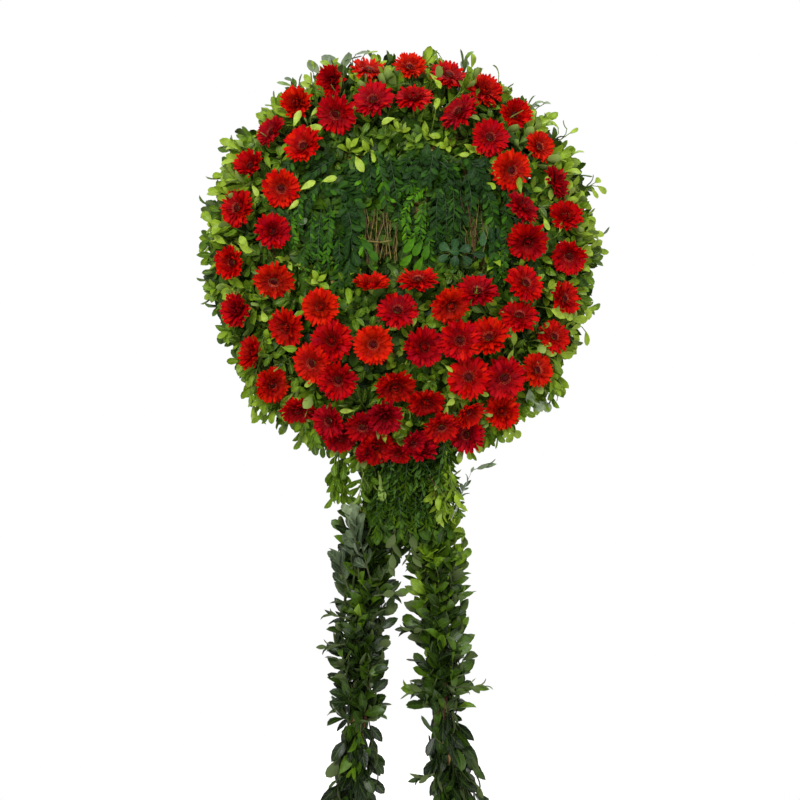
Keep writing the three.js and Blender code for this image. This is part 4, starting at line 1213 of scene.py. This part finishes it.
# %% Hanging skirt
def hang_sprays(name, finishes, plan, dice, replaced=()):
    """Shoots that hang from places across and down the head's lower edge."""
    copies, lines = [], []
    for _ in range(plan["count"]):
        across, up = dice.uniform(*plan["x"]), dice.uniform(*plan["y"])
        start = np.array([across, up, dice.uniform(*plan["z"])])
        heading = np.array([plan["spread"] * dice.normal(), -1.0, 0.1 * dice.normal()])
        length = dice.uniform(*plan["length"])
        if crosses_a_flower(start, 1.1) or crosses_a_flower(start + heading * length / 2, 1.1):
            continue
        bend = [0.01 * dice.normal(), -0.005, -0.01]
        more, line = shoot(start, heading, bend, length, plan["leaves"], plan["size"], plan["opening"],
                           plan["tints"], dice, plan["kinds"], look=(0, 0, 1.1), thickness=0.0013,
                           avoid=crosses_a_flower)
        copies += more
        lines.append(line)
    copies.append(as_made(stems(lines), 1))
    plant(name, copies, finishes, "front", replaced, HEAD)


FEATHER_FINISHES = [LEAF_FINISHES["feather_leaf"], frond_rib]
dice = np.random.default_rng(17)
SKIRT_BED = 620
copies = []
for _ in range(SKIRT_BED):
    up = dice.uniform(-0.64, -0.37)
    half = 0.085 + 0.30 * max(0.0, up + 0.48)
    across = dice.uniform(-half + 0.012 + 0.12 * max(0.0, -0.50 - up), half + 0.026)
    at = np.array([across, up, dice.uniform(0.004, 0.04 + 0.12 * max(0.0, up + 0.55))])
    along = np.array([0.5 * dice.normal(), -1, 0.3 * dice.normal()])
    faces = np.array([0.3 * dice.normal(), 0.3 * dice.normal(), 1])
    shape = ROUND_LEAVES[dice.integers(3)]
    copies.append(set_down(shape, at, along, faces, 0.042, 0.017, dice.uniform(0, 0.7), 0))
plant("skirt_bed", copies, [LEAF_FINISHES["undergrowth_leaf"]], "front", (), HEAD)
FEATHER_SPRAYS = {"count": 15, "spread": 0.30, "length": (0.045, 0.085), "leaves": 15,
                  "size": (0.026, 0.0080), "opening": 50, "tints": (0.0, 0.75), "kinds": LONG_LEAVES}
UPPER_TIER = {"x": (-0.078, 0.112), "y": (-0.48, -0.40), "z": (0.05, 0.10)}
LOWER_TIER = {"x": (-0.058, 0.108), "y": (-0.56, -0.47), "z": (0.03, 0.06)}
for number, tier in enumerate([UPPER_TIER] * 5 + [LOWER_TIER] * 5):
    name = f"feather_sprays_{number + 1}"
    hang_sprays(name, FEATHER_FINISHES, FEATHER_SPRAYS | tier, dice, ["hanging_foliage"])
SIDE_SPRAYS = {
    "right": {"count": 14, "x": (0.078, 0.120), "y": (-0.53, -0.42), "z": (0.05, 0.10), "spread": 0.12,
              "length": (0.05, 0.09), "leaves": 9, "size": (0.034, 0.0130), "opening": 38,
              "tints": (0.3, 0.85), "kinds": LONG_LEAVES},
    "left": {"count": 11, "x": (-0.085, -0.050), "y": (-0.50, -0.42), "z": (0.05, 0.09), "spread": 0.2,
             "length": (0.03, 0.06), "leaves": 8, "size": (0.040, 0.0180), "opening": 42,
             "tints": (0.0, 0.5), "kinds": ROUND_LEAVES},
    "loose": {"count": 4, "x": (-0.150, -0.130), "y": (-0.45, -0.43), "z": (0.03, 0.06), "spread": 0.05,
              "length": (0.08, 0.115), "leaves": 8, "size": (0.040, 0.0190), "opening": 28,
              "tints": (0.0, 0.45), "kinds": ROUND_LEAVES},
}
for side, plan in SIDE_SPRAYS.items():
    hang_sprays("hanging_sprigs_" + side, SPRIG_FINISHES, plan, dice)

LOWER_EDGE = {"left": (208, 252), "right": (288, 330)}  # degrees round the head, from its right
for side, (first, last) in LOWER_EDGE.items():
    copies, lines = [], []
    for _ in range(26):
        angle = math.radians(dice.uniform(first, last))
        out = np.array([math.cos(angle), math.sin(angle), 0])
        start = out * dice.uniform(0.355, 0.405) + [0, 0, dice.uniform(0.02, 0.09)]
        heading = out * dice.uniform(0.3, 1.0) + [0, -0.9, 0.1 * dice.normal()]
        light = dice.uniform(0.25, 0.8)
        tints = (0.1, light) if side == "left" else (0.4, light + 0.2)
        more, line = shoot(start, heading, [0, -0.01, 0], dice.uniform(0.055, 0.095), 9, (0.043, 0.0185), 40,
                           tints, dice, ROUND_LEAVES, look=(0, 0, 1.1), avoid=crosses_a_flower)
        copies += more
        lines.append(line)
    copies.append(as_made(stems(lines), 1))
    plant("lower_edge_" + side, copies, SPRIG_FINISHES, "front", (), HEAD)
print("skirt leaves:", SKIRT_BED)

# %% [markdown]
# ## Leg garlands
# Each front leg is first lined with dark leaves, laid flat, and then wrapped in bundles of
# laurel-like shoots. Above the waist the shoots point up and overlap like shingles. Below it they
# are turned the other way and flare over the foot like a skirt. The backs of the legs stay nearly
# bare, which leaves room for the rear frame to fold.

# %% Leg garlands
FOOT_OFFSET, SPLAY = 0.122, 0.069
WAISTS = {-1: 0.353, 1: 0.369}
SIDES = {-1: "left", 1: "right"}
GARLAND_FINISHES = [LEAF_FINISHES["garland_leaf"], olive_bark]
YOUNG_AND_PAINTED_LIGHT_FINISHES = [LEAF_FINISHES["light_sprig_leaf"], olive_bark]
BARE_STEMS = {-1: 2, 1: 5}  # woody stems that show at the waist
BUNDLE_SHOOTS = 6
GARLAND_LEAF = (0.057, 0.0235)  # length and width
GARLAND_LEAVES = LONG_LEAVES + ROUND_LEAVES[:2]
OUTER_LEAN = {-1: (-0.06, 0.0), 1: (0.13, 0.20)}  # how far upper and lower shoots lean to the right


def leg_point(side, height):
    """A place on the middle of a front leg's front face, at a height above the floor."""
    return np.array([side * (FOOT_OFFSET - SPLAY * height), LEG_FOOT[1] + height * math.tan(LEAN), height])


def leg_heading(side):
    return unit([-side * SPLAY, math.tan(LEAN), 1.0])


def foliage_node(side, height):
    level = "lower" if height < 0.342 else "middle" if height < 0.572 else "upper"
    return f"leg_foliage_{SIDES[side]}_{level}"


def garland_bundle(side, height, upwards, tints, dice, opening, flares, leaves=9, reach=(0.12, 0.17)):
    """A ring of shoots bound round the front and sides of a leg."""
    copies, lines = [], []
    for number in range(BUNDLE_SHOOTS):
        turn = math.radians(-100 + 200 * (number + dice.uniform(0.1, 0.9)) / BUNDLE_SHOOTS)
        out = np.array([math.sin(turn), -math.cos(turn), 0])
        start = leg_point(side, height + dice.uniform(-0.025, 0.025))
        start = start + out * [0.020, 0.011, 0] + [0, 0.004, 0]
        flare = dice.uniform(*flares)
        heading = leg_heading(side) * (1 if upwards else -1) + out * [flare, 0.6 * flare, 0]
        heading = heading + [OUTER_LEAN[side][0 if upwards else 1], 0, 0]
        length = dice.uniform(*reach)
        if not upwards:
            length = min(length, height - 0.075)
        shade = 0.18 * dice.normal()
        more, line = shoot(start, heading, out * 0.006, length, leaves, GARLAND_LEAF, opening,
                           (tints[0] + shade, tints[1] + shade), dice, GARLAND_LEAVES, bare=0.03,
                           look=1.3 * out + [0, -0.4, 0.2], thickness=0.0016)
        copies += more
        lines.append(line)
    copies.append(as_made(stems(lines), 1))
    return copies


dice = np.random.default_rng(29)
for side, side_name in SIDES.items():
    copies = []
    for _ in range(190):
        height = dice.uniform(0.06, 0.90)
        turn = math.radians(dice.uniform(-100, 100))
        out = np.array([math.sin(turn), -math.cos(turn), 0])
        at = leg_point(side, height) + out * [0.022, 0.010, 0] + [0, 0.002, 0]
        along = leg_heading(side) + 0.35 * dice.normal(size=3)
        copies.append(set_down(ROUND_LEAVES[0], at, along, out, 0.05, 0.022, dice.uniform(0, 0.5), 0))
    lines = []
    for _ in range(BARE_STEMS[side]):
        turn = math.radians(dice.uniform(-20, 45))
        out = np.array([math.sin(turn), -math.cos(turn), 0])
        low, high = WAISTS[side] - dice.uniform(0.0, 0.03), WAISTS[side] + dice.uniform(0.04, 0.09)
        offset = out * [0.026, 0.016, 0]
        line = [(leg_point(side, height) + offset + 0.003 * dice.normal(size=3), 0.0021)
                for height in (low, 0.5 * (low + high), high)]
        lines.append(line)
    copies.append(as_made(stems(lines), 1))
    lining = [LEAF_FINISHES["undergrowth_leaf"], red_bark]
    nodes = [foliage_node(side, height) for height in (0.2, 0.5, 0.7)]
    plant(f"garland_{side_name}_lining", copies, lining, "front", nodes)
    waist = WAISTS[side]
    levels = [(f"skirt_{index + 1}", waist + 0.008 - 0.075 * index, False) for index in range(3)]
    levels += [(f"bundle_{index + 1}", waist - 0.005 + 0.062 * index, True) for index in range(7)]
    for label, height, upwards in levels:
        tints = (0.05, 0.55) if upwards else (-0.15, 0.3) if side > 0 else (-0.25, 0.2)
        finishes = GARLAND_FINISHES
        # higher bundles are lighter: partly younger leaves, partly painted light against the shadow that the
        # head casts on them
        if height > 0.5:
            tints = (0.3, 0.8) if side > 0 else (0.15, 0.65)
        if height > 0.62 and side > 0:
            tints, finishes = (0.1, 0.55), YOUNG_AND_PAINTED_LIGHT_FINISHES
        flares = (0.04, 0.24) if upwards else (0.02, 0.20)
        opening = 58 if upwards else 34
        copies = garland_bundle(side, height, upwards, tints, dice, opening, flares)
        if label == "bundle_1":
            copies += garland_bundle(side, waist + 0.006, True, tints, dice, 46, (0.6, 1.4), 4,
                                     (0.016, 0.030))
        plant(f"garland_{side_name}_{label}", copies, finishes, "front")
print("garland bundles per leg:", len(levels))

# %% [markdown]
# ## Loose ends
# A few things stick out of any real wreath: upright shoots on the left garland with the grey backs
# of their leaves showing, stray sprigs on both garlands, and thin silvery sprigs under the head.

# %% Loose sprigs
def loose_sprigs(name, sprigs, finishes, dice, look=(0, 0, 0), kinds=ROUND_LEAVES, thickness=0.0018,
                 frame_of=None):
    """Single shoots, each with its start, heading and length, and its leaves' number, size, angle, tints."""
    copies, lines = [], []
    for start, heading, length, leaves, size, opening, tints in sprigs:
        more, line = shoot(start, heading, [0, 0, 0], length, leaves, size, opening, tints, dice, kinds,
                           look=look, thickness=thickness)
        copies += more
        lines.append(line)
    copies.append(as_made(stems(lines), 1))
    plant(name, copies, finishes, "front", (), frame_of)


dice = np.random.default_rng(41)
LARGE, SMALL = (0.050, 0.0265), (0.036, 0.0130)
GREY_FINISHES = [LEAF_FINISHES["grey_backed_leaf"], olive_bark]
uprights = [
    ((-0.070, -0.245, 0.680), (-0.26, 0.1, 1), 0.150, 14, LARGE, 36, (0.0, 0.8)),
    ((-0.095, -0.240, 0.680), (-0.10, 0.1, 1), 0.130, 11, LARGE, 36, (0.0, 0.7)),
    ((-0.120, -0.235, 0.650), (-0.35, 0.1, 1), 0.070, 7, LARGE, 34, (0.00, 0.30)),
]
loose_sprigs("upright_shoots_left", uprights, GREY_FINISHES, dice, look=(0, -1.2, 0))
strays = [
    ((0.125, -0.255, 0.425), (1.0, -0.2, 0.10), 0.072, 6, SMALL, 38, (0.5, 0.9)),
    ((0.070, -0.265, 0.420), (-1.0, -0.2, 0.10), 0.045, 5, (0.044, 0.022), 44, (0.4, 0.9)),
    ((0.080, -0.285, 0.230), (-1.0, -0.2, -0.25), 0.035, 6, SMALL, 36, (0.0, 0.4)),
    ((-0.010, -0.240, 0.800), (-0.12, -0.1, -1.0), 0.085, 8, (0.048, 0.021), 44, (0.0, 0.5)),
    ((0.022, -0.240, 0.800), (0.10, -0.1, -1.0), 0.080, 8, (0.048, 0.021), 44, (0.1, 0.6)),
    ((0.110, -0.230, 0.620), (0.9, -0.3, 0.50), 0.055, 5, SMALL, 38, (0.5, 0.9)),
    ((-0.115, -0.230, 0.580), (-1.0, -0.3, 0.30), 0.050, 5, SMALL, 35, (0.0, 0.3)),
    ((-0.120, -0.240, 0.525), (-1.0, -0.2, -0.10), 0.055, 5, SMALL, 35, (0.0, 0.3)),
    ((0.065, -0.250, 0.560), (-1.0, -0.2, 0.05), 0.050, 5, (0.04, 0.014), 30, (0.0, 0.2)),
    ((-0.060, -0.250, 0.640), (1.0, -0.2, 0.15), 0.055, 6, (0.04, 0.020), 40, (0.2, 0.7)),
]
loose_sprigs("stray_sprigs", strays, GARLAND_FINISHES, dice, kinds=LONG_LEAVES)
silvery = [
    ((0.118, -0.610, 0.060), (0.42, 1.0, 0.10), 0.128, 5, (0.022, 0.0090), 40, (0.7, 1.0)),
    ((0.165, -0.495, 0.070), (1.00, 0.3, 0.10), 0.040, 3, (0.032, 0.0110), 14, (0.2, 0.8)),
    ((0.130, -0.590, 0.060), (0.30, 1.0, 0.10), 0.060, 6, (0.030, 0.0130), 45, (0.0, 0.2)),
]
SILVERY_FINISHES = [LEAF_FINISHES["grey_backed_leaf"], silver_stem]
loose_sprigs("silvery_sprig", silvery, SILVERY_FINISHES, dice, kinds=LONG_LEAVES, thickness=0.0011,
             frame_of=HEAD)
print("loose sprigs:", len(uprights) + len(strays) + len(silvery))

# %% [markdown]
# ## Tendrils and the red branch
# Thin dry tendrils stand out of the rim here and there: each one runs straight and then curls up at
# its end. One red-brown branch forks on the right side of the skirt. Both have no leaves, so each
# is only a list of places with a radius at each place, which is all that a stem needs.

# %% Tendrils and the red branch
def tendril(start, heading, reach, curl, turns):
    """A thin tendril that runs straight, then curls up at its end."""
    heading = unit(heading)
    side = unit(np.cross(heading, [0, 0, 1.0]))
    points = [np.asarray(start) + heading * reach * k for k in (0, 0.35, 0.7)]
    centre = np.asarray(start) + heading * reach + side * curl
    for step in range(int(10 * turns)):
        angle = math.tau * step / 10
        radius = curl * (1 - 0.5 * step / (10 * turns))
        spoke = math.sin(angle) * heading - math.cos(angle) * side
        points.append(centre + radius * spoke + [0, 0, 0.0006 * step])
    return [(point, 0.0007 * (1.2 - 0.6 * index / len(points))) for index, point in enumerate(points)]


dice = np.random.default_rng(43)
lines = []
for degrees in (158, 163, 170, 186, 128, 38, 22, 27, 12, 348, 215, 322):
    angle = math.radians(degrees)
    out = np.array([math.cos(angle), math.sin(angle), 0.05])
    start = out * 0.43 + [0, 0, 0.03]
    heading = out + 0.5 * dice.normal(size=3) * [1, 1, 0.3]
    lines.append(tendril(start, heading, dice.uniform(0.012, 0.028), dice.uniform(0.003, 0.006), 1.3))
plant("rim_tendrils", [as_made(stems(lines, 0), 0)], [dry_twig], "front", (), HEAD)

fork = np.array([0.078, -0.525, 0.092])
branch = [
    [(fork, 0.0014), (fork + [0.004, -0.03, 0], 0.0017), (fork + [0.006, -0.07, -0.03], 0.002)],
    [(fork, 0.0013), (fork + [-0.006, 0.010, 0.002], 0.0010), (fork + [-0.011, 0.018, 0.003], 0.0007)],
    [(fork + [0.002, -0.008, 0], 0.0012), (fork + [0.009, 0.003, 0.002], 0.0009),
     (fork + [0.012, 0.012, 0], 0.0006)],
]
plant("red_branch", [as_made(stems(branch), 0)], [red_bark], "front", (), HEAD)
print("tendrils:", len(lines))

# %% [markdown]
# ## Straw pad
# The pad is a coil of bound straw rope laid on the board, each turn a little further in and
# forward. A row of torus rings stands for the turns, and jute twine binds the outermost one.

# %% Straw pad
ROPE_RADIUS, ROPE_TURNS, ROPE_TIES = 0.0165, 15, 30
deselect()
turns = []
for index in range(ROPE_TURNS):
    angle = math.radians(7 + 81 * index / (ROPE_TURNS - 1))
    radius = (PAD_RADIUS - ROPE_RADIUS) * math.cos(angle) ** (2 / PAD_ROUNDNESS)
    height = (PAD_RISE - ROPE_RADIUS) * math.sin(angle) ** (2 / PAD_ROUNDNESS)
    bpy.ops.mesh.primitive_torus_add(
        major_radius=max(radius, 0.018), minor_radius=ROPE_RADIUS, major_segments=72, minor_segments=8,
        location=(0, 0, max(height, ROPE_RADIUS + 0.001)),
    )
    turns.append(bpy.context.object)
deselect()
for ring in turns:
    ring.select_set(True)
bpy.context.view_layer.objects.active = turns[0]
bpy.ops.object.join()
bpy.ops.object.transform_apply(location=True)
rope = shape_of(bpy.context.object)
deselect()
bpy.ops.mesh.primitive_torus_add(major_radius=ROPE_RADIUS + 0.0008, minor_radius=0.0013, major_segments=14,
                                 minor_segments=5, rotation=(math.pi / 2, 0, 0))
bpy.ops.object.transform_apply(rotation=True)
tie = shape_of(bpy.context.object)
pad_copies = [as_made(rope, 0)]
for number in range(ROPE_TIES):
    angle = math.tau * (number + 0.5) / ROPE_TIES
    cosine, sine = math.cos(angle), math.sin(angle)
    turn = np.array([[cosine, -sine, 0], [sine, cosine, 0], [0, 0, 1.0]])
    place = np.array([cosine, sine, 0]) * (PAD_RADIUS - ROPE_RADIUS - 0.001) + [0, 0, ROPE_RADIUS + 0.001]
    pad_copies.append((tie, turn, place, 0.5, 1))
plant("straw_rope_pad", pad_copies, [straw, twine], "front", ["straw_pad"], HEAD)
print("turns of straw rope:", ROPE_TURNS, "ties:", ROPE_TIES)

# %% [markdown]
# ## Binding wire and nails
# Green lacquered wire holds each bundle to its leg, and shows at the waists. The rails are nailed,
# and the hinge leaves are held by small round-headed tacks.

# %% Wire and nails
for side, side_name in SIDES.items():
    lines = []
    for index, height in enumerate([WAISTS[side] + 0.004, WAISTS[side] + 0.0075, 0.60, 0.603]):
        middle = leg_point(side, height) + [0, 0.012, 0]
        loop = []
        for step in range(21):
            angle = math.tau * step / 20
            offset = [0.026 * math.cos(angle), 0.023 * math.sin(angle), 0.0015 * math.sin(angle + index)]
            loop.append((middle + offset, 0.0007))
        lines.append(loop)
    plant("binding_wire_" + side_name, [as_made(stems(lines, 0), 0)], [green_wire], "front")

deselect()
bpy.ops.mesh.primitive_cylinder_add(vertices=16, radius=1, depth=0.5, location=(0, 0, 0))
head = bpy.context.object
bpy.ops.object.mode_set(mode="EDIT")
bpy.ops.mesh.select_mode(type="FACE")
mesh = bmesh.from_edit_mesh(head.data)
for face in mesh.faces:
    face.select = face.normal.z > 0.9
bmesh.update_edit_mesh(head.data)
bpy.ops.mesh.inset(thickness=0.3)
bpy.ops.transform.translate(value=(0, 0, 0.18))
bpy.ops.object.mode_set(mode="OBJECT")
NAIL_HEAD = shape_of(head)


def nail(at, outwards, radius):
    z = unit(outwards)
    x = unit(np.cross([0.3, 0.2, 1.0], z))
    turn = np.column_stack([x, np.cross(z, x), z]) * radius
    return NAIL_HEAD, turn, np.asarray(at) + z * 0.2 * radius, 0.5, 0


BACKWARDS = -OUT_OF_THE_LEG
REAR_LEAN = math.radians(16)
REAR_BACKWARDS = np.array([0, math.cos(REAR_LEAN), math.sin(REAR_LEAN)])


def rail_nails(node_name, span, backwards):
    """Two nails at each end of a rail, on its back face."""
    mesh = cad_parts[node_name].data
    places = np.array([v.co for v in mesh.vertices])
    depth = (places @ backwards).max()
    up = np.cross([1.0, 0, 0], backwards)
    up = up * np.sign(up[2])
    heights = places @ up
    copies = []
    for side in (-1, 1):
        for share in (0.28, 0.72):
            height = heights.min() + share * (heights.max() - heights.min())
            at = up * height + backwards * depth + [side * span, 0, 0]
            copies.append(nail(at, backwards, 0.0034))
    return copies


front_nails = rail_nails("front_hinge_rail", 0.040, BACKWARDS)
front_nails += rail_nails("front_lower_rail", 0.052, BACKWARDS)
plant("front_rail_nails", front_nails, [steel], "front")
rear_nails = rail_nails("rear_lower_rail", 0.085, REAR_BACKWARDS)
plant("rear_rail_nails", rear_nails, [steel], "rear_frame")
print("nails:", len(front_nails) + len(rear_nails))

# %% [markdown]
# ## The stand
# The legs, rails, board and hinge are the CAD parts as they are. They only need their finishes:
# grain up the legs, grain along the rails.

# %% Finishes on the stand
NODE_FINISHES = {"leg": pine, "rail": cross_pine, "board": plywood, "hinge": steel, "screw": steel}
for node_name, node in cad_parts.items():
    if node.hide_render:
        continue
    kind = [kind for kind in ("screw", "leg", "rail", "hinge", "board") if kind in node_name][0]
    node.data.materials.clear()
    node.data.materials.append(NODE_FINISHES[kind])
    print(node_name, "->", node.data.materials[0].name)

# %% [markdown]
# ## Floor
# A plain pale floor, only large enough to stand on.

# %% Floor
deselect()
bpy.ops.mesh.primitive_circle_add(vertices=96, radius=0.9, fill_type="NGON", location=(0, 0, -0.0005))
floor = bpy.context.object
floor.name = "floor"
FLOOR_GLOW = 0.35  # the floor is a sheet of white acrylic with some light coming through it
white = colour("#FFFFFF")
floor_finish, _, _ = new_finish(
    "white_acrylic_floor", Base_Color=white, Roughness=0.9, Emission_Color=white, Emission_Strength=FLOOR_GLOW
)
floor.data.materials.append(floor_finish)

# %% [markdown]
# ## Last update
# The view layer is brought up to date. The finished wreath may stand only a little proud of
# the CAD model's box.

# %% Finish
bpy.context.view_layer.update()
